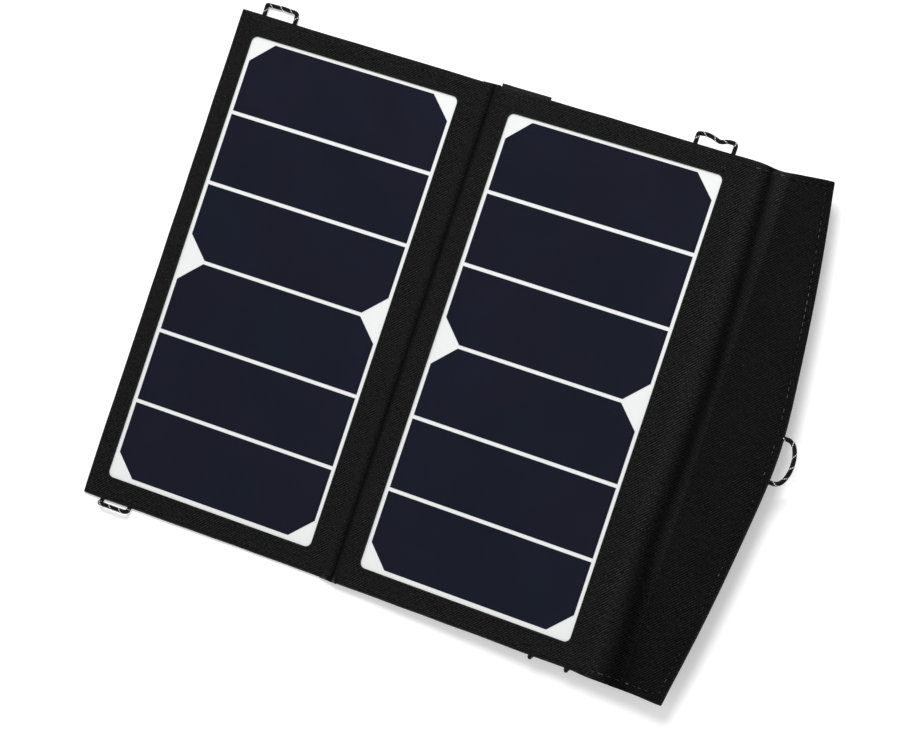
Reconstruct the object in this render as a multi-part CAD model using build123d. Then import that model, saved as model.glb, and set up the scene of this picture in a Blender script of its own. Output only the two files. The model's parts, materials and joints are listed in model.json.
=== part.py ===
from build123d import *
import os
from math import cos, radians, sin, tan

# Folding solar phone charger, opened on a table. Two stiffened fabric leaves each hold a solar
# laminate behind a sewn window, a soft spine carries an arched closing flap, cord loops stand at
# the edges, and a zipped pocket behind the right leaf holds the USB output box.
#
# All lengths are in millimetres. The working frame has X across the leaves, from the centre fold
# towards the flap, Y up the leaves from mid-height, and Z up from the table. The left leaf lies
# on the table. The right leaf is tipped up by the box in its pocket, so its pieces are drawn in
# the leaf's own frame (Z 0 on its rear face) and then placed. Every piece is written with the
# origin moved to the middle of the left leaf's rear face.

# ---------------------------------------------------------------- driving dimensions
LEAF_HEIGHT = 292.0
LEFT_EDGE = 157.0  # centre fold to the left leaf's outer edge
RIGHT_EDGE = 158.5  # centre fold to the right leaf's outer edge
FOLD_HALF = 5.0  # half the width of the soft centre fold
FOLD_SHIFT = 1.6  # the right leaf's frame starts this far right of the fold line
TILT = 4.0  # degrees between the leaves
LIFT = 4.0  # height of the right leaf's rear face at the fold

FABRIC = 0.6
BOARD = 1.2
BACKSHEET = 0.4
CELL = 0.2
COVER_FILM = 0.3
BOARD_INSET = 4.0  # the board stops this far inside the leaf's edges

CELL_START = 18.0  # centre fold to the nearest cell edge
CELL_WIDTH = 125.0
CELL_TOP = 131.0  # top edge of the first strip
OUTER_STRIP = 42.44
MIDDLE_STRIP = 40.12
STRIP_GAP = 2.17
WAFER_GAP = 2.12
CELL_CHAMFER = 12.5
STRIPS_PER_WAFER = 3
WAFERS = 2

WINDOW_X = (15.7, 145.3)
WINDOW_Y = (-132.5, 133.0)
WINDOW_CORNER = 3.5
LAMINATE_LAP = 4.0  # laminate hidden under the window's hem

TAB_WIDTH = 5.0
TAB_LENGTH = 6.0
TAB_THICK = 0.1
TABS_PER_GAP = 3

FLAP_START = 181.0
FLAP_RIM = [(204.8, 146.0), (213.0, 97.0), (220.3, 38.0), (223.0, 0.0)]  # upper half of the arch
FLAP_INSET = 4.0
VALLEY_X = 175.0  # crease of the soft spine
MAGNET_X = 205.0
MAGNET_Y = 85.0
MAGNET_R = 5.0
KEEPER_X = 135.0
KEEPER_R = 6.0
KEEPER_THICK = 1.0
POCKET_CLEAR = 0.05

CORD_R = 1.25
LOOP_CLEAR = 0.15  # cord end to the fabric's edge
LOOP_BEND = 3.4
# name: (centre along the edge, outer width, reach past the edge, tilt towards the front)
EDGE_LOOPS = {
    "left_top_loop": (-133.6, 22.0, 7.5, 4.0),
    "left_bottom_loop": (-135.5, 20.0, 7.0, 72.0),
    "right_top_loop": (135.0, 25.0, 6.8, 0.0),
    "right_bottom_loop": (136.0, 26.5, 7.0, -70.0),
}
FLAP_LOOP_Y = -3.6
FLAP_LOOP_WIDTH = 27.0
FLAP_LOOP_REACH = 9.8

POCKET_X = (31.0, 157.5)
POCKET_Y = 144.0
POCKET_SEAM = 3.0
ZIP_SEAM = 5.0
POCKET_TIP_X = (108.0, 154.0)
POCKET_TIP_Y = 36.0
POCKET_SKIN = 0.7

ZIP_X = 20.3
TAPE_X = (5.3, 35.3)
TAPE_Y = (-145.5, 147.8)
TAPE = 0.4
TAPE_Z = -0.8  # the tape hangs this far behind the leaf, so the slider can pass
CHAIN_GAP = 0.6  # half the gap between the two coils
COIL_WIDTH = 1.6
COIL_HEIGHT = 1.2
CHAIN_END = 141.0
STOP_LENGTH = 2.4
SLIDER_Y = -132.0
SLIDER_HALF = 4.5
WING = 0.6
WING_HALF = 3.4
PIN_R = 0.5
PIN_Z = -4.1
EYE_R = 0.95
EYE_CLEAR = 0.05
PULL_LENGTH = 22.0

BOX_X = (112.0, 152.0)
BOX_Y = 31.0
BOX_TOP = -0.6
BOX_SPLIT = -9.0
BOX_BOTTOM = -10.6
BOX_WALL = 1.5
BOX_CEILING = 1.4
BOX_CORNER = 3.0
SCREW_INSET = 3.5
SCREW_R = 0.95
SCREW_HEAD_R = 1.8
SCREW_HEAD = 0.8
BOSS_R = 2.2
STANDOFF = 0.7
CIRCUIT = 1.0
CIRCUIT_X = (114.5, 149.5)
CIRCUIT_Y = 24.5
PORT_Y = (-12.0, 12.0)
PORT_WIDTH = 13.1
PORT_HEIGHT = 5.1
PORT_DEPTH = 14.0
PORT_WALL = 0.3
RIBBON_Y = (18.0, 24.0)
RIBBON = 0.3
RIBBON_DROP_X = 120.0  # where the ribbon turns into the output box
RIBBON_REACH = 70.0  # where each leaf's ribbon rises to its laminate
LED_X = 146.5
LIGHT_PIPE_R = 1.2

# ---------------------------------------------------------------- worked out from the above
HALF = LEAF_HEIGHT / 2
Z_BOARD = FABRIC
Z_BACKSHEET = Z_BOARD + BOARD
Z_CELL = Z_BACKSHEET + BACKSHEET
Z_FILM = Z_CELL + CELL
Z_FRONT = Z_FILM + COVER_FILM
LEAF_THICK = Z_FRONT + FABRIC
FLAP_THICK = FABRIC + BOARD + FABRIC
LAMINATE_X = (WINDOW_X[0] - LAMINATE_LAP, WINDOW_X[1] + LAMINATE_LAP)
LAMINATE_Y = (WINDOW_Y[0] - LAMINATE_LAP, WINDOW_Y[1] + LAMINATE_LAP)
TAPE_BOTTOM = TAPE_Z - TAPE
COIL_BOTTOM = TAPE_BOTTOM - COIL_HEIGHT
CIRCUIT_TOP = BOX_TOP - BOX_CEILING - STANDOFF
CIRCUIT_BOTTOM = CIRCUIT_TOP - CIRCUIT
PORT_BOTTOM = CIRCUIT_BOTTOM - PORT_HEIGHT
LOOP_ROOT = CORD_R + LOOP_CLEAR
ORIGIN_X = (LEFT_EDGE + FOLD_HALF) / 2

ON_TABLE = Pos(ORIGIN_X, 0, 0)
ON_RIGHT = Pos(ORIGIN_X + FOLD_SHIFT, 0, LIFT) * Rot(0, -TILT, 0)
parts = {}


# ---------------------------------------------------------------- shared shapes
def add(name, shape, place):
    """Keeps one node, moved from the frame it was drawn in."""
    parts[name] = place * shape


def slab(x, y, z):
    """A block from three ranges, each given in either order."""
    spans = [sorted(span) for span in (x, y, z)]
    size = [high - low for low, high in spans]
    centre = [(low + high) / 2 for low, high in spans]
    return Pos(*centre) * Box(*size)


def plate(x, y, z, corner):
    """A slab with its four upright edges rounded."""
    (x0, x1), (y0, y1), (z0, z1) = [sorted(span) for span in (x, y, z)]
    outline = RectangleRounded(x1 - x0, y1 - y0, corner)
    return Pos((x0 + x1) / 2, (y0 + y1) / 2, z0) * extrude(outline, z1 - z0)


def rod(x, y, z, radius):
    """An upright cylinder from z[0] to z[1]."""
    low, high = sorted(z)
    return Pos(x, y, (low + high) / 2) * Cylinder(radius, high - low)


def cross_rod(x, y, z, radius):
    """A cylinder along X."""
    low, high = sorted(x)
    return Pos((low + high) / 2, y, z) * Rot(0, 90, 0) * Cylinder(radius, high - low)


def along_y(points, y):
    """A solid with this XZ section, run between two places along Y."""
    face = Plane.XZ * make_face(Polyline(*points, close=True))
    low, high = sorted(y)
    return Pos(0, low, 0) * extrude(face, -(high - low))


def group(solids):
    """Separate solids that share one node."""
    return Compound([piece.solid() for piece in solids])


def spread(side, span):
    """A range measured from the fold, on the side given: -1 left, 1 right."""
    return (side * span[0], side * span[1])


def from_right(x, z):
    """A point of the right leaf's own section, in the working frame."""
    angle = radians(TILT)
    across = x * cos(angle) - z * sin(angle) + FOLD_SHIFT
    return (across, x * sin(angle) + z * cos(angle) + LIFT)


def table_depth(x):
    """How far the table lies behind the right leaf's rear face at x."""
    angle = radians(TILT)
    return LIFT / cos(angle) + x * tan(angle)


# ---------------------------------------------------------------- solar laminate
def strip_heights():
    wafer = [OUTER_STRIP, MIDDLE_STRIP, OUTER_STRIP]
    return wafer * WAFERS


def strip_tops():
    """Top edge of each strip, down the leaf."""
    tops = []
    top = CELL_TOP
    for number, height in enumerate(strip_heights()):
        tops.append(top)
        last_of_wafer = number % STRIPS_PER_WAFER == STRIPS_PER_WAFER - 1
        top -= height + (WAFER_GAP if last_of_wafer else STRIP_GAP)
    return tops


def cell_strip(number):
    """One strip of a wafer. Only a wafer's outer corners are cut off."""
    top = strip_tops()[number]
    bottom = top - strip_heights()[number]
    place = number % STRIPS_PER_WAFER
    cut_top = CELL_CHAMFER if place == 0 else 0
    cut_bottom = CELL_CHAMFER if place == STRIPS_PER_WAFER - 1 else 0
    left, right = CELL_START, CELL_START + CELL_WIDTH
    points = [(left, bottom + cut_bottom), (left, top - cut_top)]
    if cut_top:
        points.append((left + cut_top, top))
    points += [(right - cut_top, top), (right, top - cut_top)]
    if cut_bottom:
        points.append((right, bottom + cut_bottom))
    points += [(right - cut_bottom, bottom), (left + cut_bottom, bottom)]
    corners = list(dict.fromkeys(points))
    return Pos(0, 0, Z_CELL) * extrude(make_face(Polyline(*corners, close=True)), CELL)


def cells(side):
    strips = [cell_strip(number) for number in range(len(strip_heights()))]
    if side < 0:
        strips = [mirror(strip, Plane.YZ) for strip in strips]
    return strips


def interconnects(side):
    """Copper tabs that bridge each gap, under the strips."""
    tabs = []
    tops = strip_tops()
    for above, below in zip(range(len(tops) - 1), range(1, len(tops))):
        gap_top = tops[above] - strip_heights()[above]
        middle = (gap_top + tops[below]) / 2
        for number in range(TABS_PER_GAP):
            x = CELL_START + CELL_WIDTH * (2 * number + 1) / (2 * TABS_PER_GAP)
            x_span = spread(side, (x - TAB_WIDTH / 2, x + TAB_WIDTH / 2))
            y_span = (middle - TAB_LENGTH / 2, middle + TAB_LENGTH / 2)
            tabs.append(slab(x_span, y_span, (Z_CELL - TAB_THICK, Z_CELL)))
    return tabs


def backsheet(side):
    sheet = slab(spread(side, LAMINATE_X), LAMINATE_Y, (Z_BACKSHEET, Z_CELL))
    return sheet - interconnects(side)


def clear_cover(side):
    """Encapsulant between the strips and the film over them, laminated into one sheet."""
    return slab(spread(side, LAMINATE_X), LAMINATE_Y, (Z_CELL, Z_FRONT)) - cells(side)


# ---------------------------------------------------------------- leaves
def ribbon_path(side, drop):
    """Flat two-core ribbon in the board's groove, rising to the laminate at its far end."""
    low = FABRIC + POCKET_CLEAR
    high = low + RIBBON
    far = RIBBON_DROP_X if drop else RIBBON_REACH
    run = slab(spread(side, (FOLD_HALF, far)), RIBBON_Y, (low, high))
    rise_x = (RIBBON_REACH - RIBBON, RIBBON_REACH)
    ribbon = run + slab(spread(side, rise_x), RIBBON_Y, (low, Z_BACKSHEET))
    if drop:
        drop_x = (RIBBON_DROP_X - RIBBON, RIBBON_DROP_X)
        ribbon += slab(drop_x, RIBBON_Y, (high, CIRCUIT_TOP + POCKET_CLEAR))
    return ribbon


def ribbon_groove(side, drop):
    """Room for the ribbon through the board and the leaf's hem."""
    far = RIBBON_DROP_X if drop else RIBBON_REACH
    y_span = (RIBBON_Y[0] - POCKET_CLEAR, RIBBON_Y[1] + POCKET_CLEAR)
    groove_top = FABRIC + RIBBON + 2 * POCKET_CLEAR
    groove = slab(spread(side, (FOLD_HALF, far + POCKET_CLEAR)), y_span, (FABRIC, groove_top))
    rise_x = (RIBBON_REACH - RIBBON - POCKET_CLEAR, RIBBON_REACH + POCKET_CLEAR)
    return groove + slab(spread(side, rise_x), y_span, (FABRIC, Z_BACKSHEET))


def stiffener_board(side, edge):
    x_span = spread(side, (FOLD_HALF + BOARD_INSET, edge - BOARD_INSET))
    board = slab(x_span, (BOARD_INSET - HALF, HALF - BOARD_INSET), (Z_BOARD, Z_BACKSHEET))
    return board - ribbon_groove(side, side > 0)


def front_fabric(side, edge):
    """Window frame of fabric whose hem wraps down round the board and the laminate."""
    body = slab(spread(side, (FOLD_HALF, edge)), (-HALF, HALF), (FABRIC, LEAF_THICK))
    board_x = spread(side, (FOLD_HALF + BOARD_INSET, edge - BOARD_INSET))
    board_y = (BOARD_INSET - HALF, HALF - BOARD_INSET)
    body -= slab(board_x, board_y, (Z_BOARD, Z_BACKSHEET))
    body -= slab(spread(side, LAMINATE_X), LAMINATE_Y, (Z_BACKSHEET, Z_FRONT))
    body -= plate(spread(side, WINDOW_X), WINDOW_Y, (Z_CELL, LEAF_THICK + 1), WINDOW_CORNER)
    return body - ribbon_groove(side, side > 0)


def keepers():
    """Steel discs in the left board that the flap's magnets hold on to."""
    span = (FABRIC, FABRIC + KEEPER_THICK)
    return [rod(-KEEPER_X, y, span, KEEPER_R) for y in (-MAGNET_Y, MAGNET_Y)]


def keeper_holes():
    span = (Z_BOARD, Z_BACKSHEET)
    return [rod(-KEEPER_X, y, span, KEEPER_R + POCKET_CLEAR) for y in (-MAGNET_Y, MAGNET_Y)]


def left_leaf():
    rear = slab((-LEFT_EDGE, -FOLD_HALF), (-HALF, HALF), (0, FABRIC))
    add("left_rear_fabric", rear, ON_TABLE)
    add("left_stiffener_board", stiffener_board(-1, LEFT_EDGE) - keeper_holes(), ON_TABLE)
    add("left_backsheet", backsheet(-1), ON_TABLE)
    add("left_cell_interconnects", group(interconnects(-1)), ON_TABLE)
    add("left_solar_cells", group(cells(-1)), ON_TABLE)
    add("left_clear_cover", clear_cover(-1), ON_TABLE)
    add("left_front_fabric", front_fabric(-1, LEFT_EDGE), ON_TABLE)
    add("left_keeper_plates", group(keepers()), ON_TABLE)
    add("left_ribbon_cable", ribbon_path(-1, False), ON_TABLE)


def right_leaf():
    rear = slab((FOLD_HALF, RIGHT_EDGE), (-HALF, HALF), (0, FABRIC))
    slot_x = (RIBBON_DROP_X - RIBBON - POCKET_CLEAR, RIBBON_DROP_X + POCKET_CLEAR)
    slot_y = (RIBBON_Y[0] - POCKET_CLEAR, RIBBON_Y[1] + POCKET_CLEAR)
    add("right_rear_fabric", rear - slab(slot_x, slot_y, (0, FABRIC)), ON_RIGHT)
    add("right_stiffener_board", stiffener_board(1, RIGHT_EDGE), ON_RIGHT)
    add("right_backsheet", backsheet(1), ON_RIGHT)
    add("right_cell_interconnects", group(interconnects(1)), ON_RIGHT)
    add("right_solar_cells", group(cells(1)), ON_RIGHT)
    add("right_clear_cover", clear_cover(1), ON_RIGHT)
    add("right_front_fabric", front_fabric(1, RIGHT_EDGE), ON_RIGHT)
    add("right_ribbon_cable", ribbon_path(1, True), ON_RIGHT)


# ---------------------------------------------------------------- centre fold
def centre_fold():
    """Soft strips and ribbon that bend where the leaves meet."""
    left = -FOLD_HALF
    rear = [(left, 0), (left, FABRIC), from_right(FOLD_HALF, FABRIC), from_right(FOLD_HALF, 0)]
    add("fold_rear_fabric", along_y(rear, (-HALF, HALF)), ON_TABLE)
    low = FABRIC + POCKET_CLEAR
    high = low + RIBBON
    ribbon = [(left, low), (left, high), from_right(FOLD_HALF, high), from_right(FOLD_HALF, low)]
    add("fold_ribbon_cable", along_y(ribbon, RIBBON_Y), ON_TABLE)
    groove_x = FOLD_HALF / 4
    groove_z = LIFT + FABRIC
    front = [
        (left, Z_FRONT),
        (left, LEAF_THICK),
        (groove_x, groove_z + FABRIC),
        from_right(FOLD_HALF, LEAF_THICK),
        from_right(FOLD_HALF, Z_FRONT),
        (groove_x, groove_z),
    ]
    add("fold_front_fabric", along_y(front, (-HALF, HALF)), ON_TABLE)


# ---------------------------------------------------------------- closing flap and its spine
def flap_outline(inset):
    """The flap seen from the front, pulled in on every side."""
    shrink = (HALF - inset) / HALF
    upper = [(x - inset, y * shrink) for x, y in FLAP_RIM]
    lower = [(x, -y) for x, y in reversed(upper[:-1])]
    rim = Spline(*upper, *lower)
    start = FLAP_START + inset
    sides = Polyline(lower[-1], (start, -HALF * shrink), (start, HALF * shrink), upper[0])
    return make_face([*rim.edges(), *sides.edges()])


def magnets(radius):
    span = (FABRIC, FABRIC + BOARD)
    return [rod(MAGNET_X, y, span, radius) for y in (-MAGNET_Y, MAGNET_Y)]


def closing_flap():
    whole = flap_outline(0)
    core = Pos(0, 0, FABRIC) * extrude(flap_outline(FLAP_INSET), BOARD)
    front = Pos(0, 0, FABRIC) * extrude(whole, FLAP_THICK - FABRIC) - core
    add("flap_rear_fabric", extrude(whole, FABRIC), ON_RIGHT)
    add("flap_stiffener", core - magnets(MAGNET_R + POCKET_CLEAR), ON_RIGHT)
    add("flap_front_fabric", front, ON_RIGHT)
    add("flap_magnets", group(magnets(MAGNET_R)), ON_RIGHT)


def spine():
    """Soft gusset between the right leaf and the flap, creased along its valley."""
    rear = slab((RIGHT_EDGE, FLAP_START), (-HALF, HALF), (0, FABRIC))
    add("spine_rear_fabric", rear, ON_RIGHT)
    seam = LEAF_THICK - FABRIC
    valley = FABRIC + POCKET_CLEAR
    front = [
        (RIGHT_EDGE, seam - FABRIC),
        (RIGHT_EDGE, seam),
        (VALLEY_X, valley + FABRIC),
        (FLAP_START, FLAP_THICK),
        (FLAP_START, FLAP_THICK - FABRIC),
        (VALLEY_X, valley),
    ]
    add("spine_front_fabric", along_y(front, (-HALF, HALF)), ON_RIGHT)


# ---------------------------------------------------------------- cord loops
def cord_loop(width, reach, bend):
    """A U of cord standing out along +Y, its two round ends on the X axis."""
    half = width / 2 - CORD_R
    out = reach - CORD_R - LOOP_ROOT
    path = FilletPolyline((-half, 0), (-half, out), (half, out), (half, 0), radius=bend)
    section = Plane(origin=(-half, 0, 0), z_dir=(0, 1, 0)) * Circle(CORD_R)
    cord = sweep(section, path=path)
    return cord + Pos(-half, 0, 0) * Sphere(CORD_R) + Pos(half, 0, 0) * Sphere(CORD_R)


def edge_loops():
    """Two loops on each leaf. Tilt is towards the front face, about the loop's ends."""
    for name, (x, width, reach, tilt) in EDGE_LOOPS.items():
        loop = cord_loop(width, reach, LOOP_BEND)
        edge = HALF + LOOP_ROOT
        middle = LEAF_THICK / 2
        if "top" in name:
            loop = Pos(x, edge, middle) * Rot(tilt, 0, 0) * loop
        else:
            loop = Pos(x, -edge, middle) * Rot(-tilt, 0, 0) * Rot(0, 0, 180) * loop
        add(name, loop, ON_TABLE if name.startswith("left") else ON_RIGHT)


def flap_loop():
    tip = FLAP_RIM[-1][0]
    bend = FLAP_LOOP_REACH - CORD_R - LOOP_ROOT - 0.5
    loop = Rot(0, 0, -90) * cord_loop(FLAP_LOOP_WIDTH, FLAP_LOOP_REACH, bend)
    add("flap_loop", Pos(tip + LOOP_ROOT, FLAP_LOOP_Y, FLAP_THICK / 2) * loop, ON_RIGHT)


# ---------------------------------------------------------------- zipped rear pocket
def frustum(base, tip):
    """A loft between two level rectangles, each given as (x range, half height, z)."""
    sections = []
    for (x0, x1), half_height, z in (base, tip):
        outline = Rectangle(x1 - x0, 2 * half_height)
        sections.append(Pos((x0 + x1) / 2, 0, z) * outline)
    return loft(sections, ruled=True)


def pocket_skin():
    """Sewn fabric skin drawn down over the output box, open to the leaf on its inside."""
    depth = table_depth(POCKET_TIP_X[0]) - POCKET_CLEAR
    outer = frustum((POCKET_X, POCKET_Y, TAPE_BOTTOM), (POCKET_TIP_X, POCKET_TIP_Y, -depth))
    inner_base = (POCKET_X[0] + ZIP_SEAM, POCKET_X[1] - POCKET_SEAM)
    inner_tip = (POCKET_TIP_X[0] + POCKET_SKIN, POCKET_TIP_X[1] - POCKET_SKIN)
    inner = frustum(
        (inner_base, POCKET_Y - POCKET_SEAM, TAPE_BOTTOM),
        (inner_tip, POCKET_TIP_Y - POCKET_SKIN, POCKET_SKIN - depth),
    )
    skin = outer - inner
    skin += slab((inner_base[1], POCKET_X[1]), (-POCKET_Y, POCKET_Y), (TAPE_BOTTOM, 0))
    for side in (-1, 1):
        seam_y = (side * (POCKET_Y - POCKET_SEAM), side * POCKET_Y)
        skin += slab((inner_base[0], POCKET_X[1]), seam_y, (TAPE_BOTTOM, 0))
    return skin


def zip_coil(side):
    """One side of the chain, rounded off below."""
    inner = ZIP_X + side * CHAIN_GAP
    outer = inner + side * COIL_WIDTH
    bevel = COIL_WIDTH / 4
    section = [
        (inner, TAPE_BOTTOM),
        (inner, COIL_BOTTOM + bevel),
        (inner + side * bevel, COIL_BOTTOM),
        (outer - side * bevel, COIL_BOTTOM),
        (outer, COIL_BOTTOM + bevel),
        (outer, TAPE_BOTTOM),
    ]
    return along_y(section, (-CHAIN_END, CHAIN_END))


def zip_tapes():
    seam_x = (TAPE_X[0], TAPE_X[0] + BOARD_INSET)
    tape_z = (TAPE_BOTTOM, TAPE_Z)
    leaf_tape = slab((TAPE_X[0], ZIP_X - CHAIN_GAP), TAPE_Y, tape_z)
    leaf_tape += slab(seam_x, TAPE_Y, (TAPE_BOTTOM, 0))
    pocket_tape = slab((ZIP_X + CHAIN_GAP, TAPE_X[1]), TAPE_Y, tape_z)
    add("zip_tape_leaf_side", leaf_tape, ON_RIGHT)
    add("zip_tape_pocket_side", pocket_tape, ON_RIGHT)


def zip_stops():
    """Crimped stops that span both coils at the ends of the chain."""
    reach = CHAIN_GAP + COIL_WIDTH
    stops = []
    for side in (-1, 1):
        y_span = (side * (CHAIN_END - STOP_LENGTH), side * CHAIN_END)
        stops.append(slab((ZIP_X - reach, ZIP_X + reach), y_span, (COIL_BOTTOM - WING, COIL_BOTTOM)))
    return stops


def slider_body():
    """Two wings round the chain, joined by a post in the chain's gap, with a pin for the pull."""
    y_span = (SLIDER_Y - SLIDER_HALF, SLIDER_Y + SLIDER_HALF)
    wing_x = (ZIP_X - WING_HALF, ZIP_X + WING_HALF)
    wing_gap = 0.1
    top = (TAPE_Z + wing_gap, TAPE_Z + wing_gap + WING)
    bottom = (COIL_BOTTOM - wing_gap - WING, COIL_BOTTOM - wing_gap)
    body = plate(wing_x, y_span, top, 1.5) + plate(wing_x, y_span, bottom, 1.5)
    post = (ZIP_X - CHAIN_GAP / 2, ZIP_X + CHAIN_GAP / 2)
    body += slab(post, (SLIDER_Y, SLIDER_Y + SLIDER_HALF - 1), (bottom[0], top[1]))
    cheek = 0.8
    for side in (-1, 1):
        edge = ZIP_X + side * WING_HALF
        side_y = (y_span[0] + 1.5, y_span[1] - 1.5)
        body += slab((edge - side * cheek, edge), side_y, (bottom[0], TAPE_BOTTOM - wing_gap))
        lug_x = (ZIP_X + side * 1.5, ZIP_X + side * 2.4)
        lug_y = (SLIDER_Y - EYE_R, SLIDER_Y + EYE_R)
        body += slab(lug_x, lug_y, (bottom[0], PIN_Z))
        body += cross_rod(lug_x, SLIDER_Y, PIN_Z, EYE_R - 0.1)
    return body + cross_rod((ZIP_X - 2.4, ZIP_X + 2.4), SLIDER_Y, PIN_Z, PIN_R)


def slider_pull():
    """Flat pull tab whose eye turns on the slider's pin."""
    eye_half = 1.35
    eye_x = (ZIP_X - eye_half, ZIP_X + eye_half)
    half_thick = 0.5
    z_span = (PIN_Z - half_thick, PIN_Z + half_thick)
    neck = 3.2
    pull = cross_rod(eye_x, SLIDER_Y, PIN_Z, EYE_R)
    pull += slab(eye_x, (SLIDER_Y, SLIDER_Y + neck + 1), z_span)
    pull += plate((ZIP_X - 2.5, ZIP_X + 2.5), (SLIDER_Y + neck, SLIDER_Y + PULL_LENGTH), z_span, 2.0)
    pull -= cross_rod(eye_x, SLIDER_Y, PIN_Z, PIN_R + EYE_CLEAR)
    return pull - rod(ZIP_X, SLIDER_Y + PULL_LENGTH - 3.5, (z_span[0] - 1, z_span[1] + 1), 1.2)


def rear_pocket():
    add("pocket_skin", pocket_skin(), ON_RIGHT)
    zip_tapes()
    add("zip_coil_leaf_side", zip_coil(-1), ON_RIGHT)
    add("zip_coil_pocket_side", zip_coil(1), ON_RIGHT)
    add("zip_end_stops", group(zip_stops()), ON_RIGHT)
    add("zip_slider_body", slider_body(), ON_RIGHT)
    add("zip_pull_tab", slider_pull(), ON_RIGHT)


# ---------------------------------------------------------------- USB output box
def screw_places():
    """The four corners where the cover is screwed to the base."""
    xs = (BOX_X[0] + SCREW_INSET, BOX_X[1] - SCREW_INSET)
    ys = (-BOX_Y + SCREW_INSET, BOX_Y - SCREW_INSET)
    return [(x, y) for x in xs for y in ys]


def grommet_span():
    """Outline of the rubber grommet where the ribbon enters the box."""
    x = (RIBBON_DROP_X - RIBBON / 2 - 1.5, RIBBON_DROP_X - RIBBON / 2 + 1.5)
    return x, (RIBBON_Y[0] - 1.5, RIBBON_Y[1] + 1.5)


def box_base():
    """Deep half of the box, bonded to the leaf's rear face."""
    ceiling = BOX_TOP - BOX_CEILING
    inner_x = (BOX_X[0] + BOX_WALL, BOX_X[1] - BOX_WALL)
    inner_y = (-BOX_Y + BOX_WALL, BOX_Y - BOX_WALL)
    base = plate(BOX_X, (-BOX_Y, BOX_Y), (BOX_SPLIT, BOX_TOP), BOX_CORNER)
    base -= plate(inner_x, inner_y, (BOX_SPLIT, ceiling), BOX_CORNER - BOX_WALL)
    for x, y in screw_places():
        base += rod(x, y, (BOX_SPLIT, ceiling), BOSS_R)
        base -= rod(x, y, (BOX_SPLIT, ceiling - 1), SCREW_R + POCKET_CLEAR)
    for x in (CIRCUIT_X[0] + 3.5, CIRCUIT_X[1] - 3.5):
        for y in (3 - CIRCUIT_Y, CIRCUIT_Y - 3):
            base += rod(x, y, (CIRCUIT_TOP, ceiling), 1.5)
    for y in PORT_Y:
        half = PORT_WIDTH / 2 + POCKET_CLEAR
        port_z = (BOX_SPLIT, CIRCUIT_BOTTOM + POCKET_CLEAR)
        base -= slab((BOX_X[0], inner_x[0]), (y - half, y + half), port_z)
    return base - slab(*grommet_span(), (ceiling, BOX_TOP))


def box_cover():
    """Thin plate that closes the box, with sunk screw heads and a hole for the light pipe."""
    cover = plate(BOX_X, (-BOX_Y, BOX_Y), (BOX_BOTTOM, BOX_SPLIT), BOX_CORNER)
    outer_edges = cover.faces().sort_by(Axis.Z)[0].edges()
    cover = chamfer(outer_edges, 0.5)
    for x, y in screw_places():
        cover -= rod(x, y, (BOX_BOTTOM, BOX_SPLIT), SCREW_R + 0.2)
        sink = BOX_BOTTOM + SCREW_HEAD + POCKET_CLEAR
        cover -= rod(x, y, (BOX_BOTTOM, sink), SCREW_HEAD_R + 0.1)
    return cover - rod(LED_X, 0, (BOX_BOTTOM, BOX_SPLIT), LIGHT_PIPE_R + POCKET_CLEAR)


def screw(x, y):
    """Pan-head screw with a cross recess."""
    head_low = BOX_BOTTOM + POCKET_CLEAR
    head_high = head_low + SCREW_HEAD
    piece = rod(x, y, (head_low, head_high), SCREW_HEAD_R)
    piece += rod(x, y, (head_high, CIRCUIT_BOTTOM), SCREW_R)
    recess = (head_low, head_low + SCREW_HEAD / 2)
    piece -= slab((x - 1, x + 1), (y - 0.2, y + 0.2), recess)
    return piece - slab((x - 0.2, x + 0.2), (y - 1, y + 1), recess)


def port_shell(y):
    """Pressed-steel shell of a USB socket, open towards the zip."""
    x_span = (BOX_X[0], BOX_X[0] + PORT_DEPTH)
    half = PORT_WIDTH / 2
    shell = slab(x_span, (y - half, y + half), (PORT_BOTTOM, CIRCUIT_BOTTOM))
    inner_y = (y - half + PORT_WALL, y + half - PORT_WALL)
    inner_z = (PORT_BOTTOM + PORT_WALL, CIRCUIT_BOTTOM - PORT_WALL)
    return shell - slab((x_span[0], x_span[1] - PORT_WALL), inner_y, inner_z)


def tongue_z():
    """Upper and lower faces of a socket's tongue."""
    high = CIRCUIT_BOTTOM - PORT_WALL - 0.7
    return high - 1.8, high


def port_tongue(y):
    """Moulded insulator: a back block and the tongue that carries the contacts."""
    back = BOX_X[0] + PORT_DEPTH - PORT_WALL
    inner_z = (PORT_BOTTOM + PORT_WALL, CIRCUIT_BOTTOM - PORT_WALL)
    half = PORT_WIDTH / 2 - PORT_WALL
    block = slab((back - 2.5, back), (y - half, y + half), inner_z)
    return block + slab((BOX_X[0] + 2, back - 2.5), (y - 5.5, y + 5.5), tongue_z())


def port_contacts(y):
    """Four sprung strips lying on one tongue."""
    low = tongue_z()[0]
    x_span = (BOX_X[0] + 3, BOX_X[0] + 11)
    places = [y + offset for offset in (-3.5, -1.0, 1.0, 3.5)]
    return [slab(x_span, (at - 0.5, at + 0.5), (low - 0.15, low)) for at in places]


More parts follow.
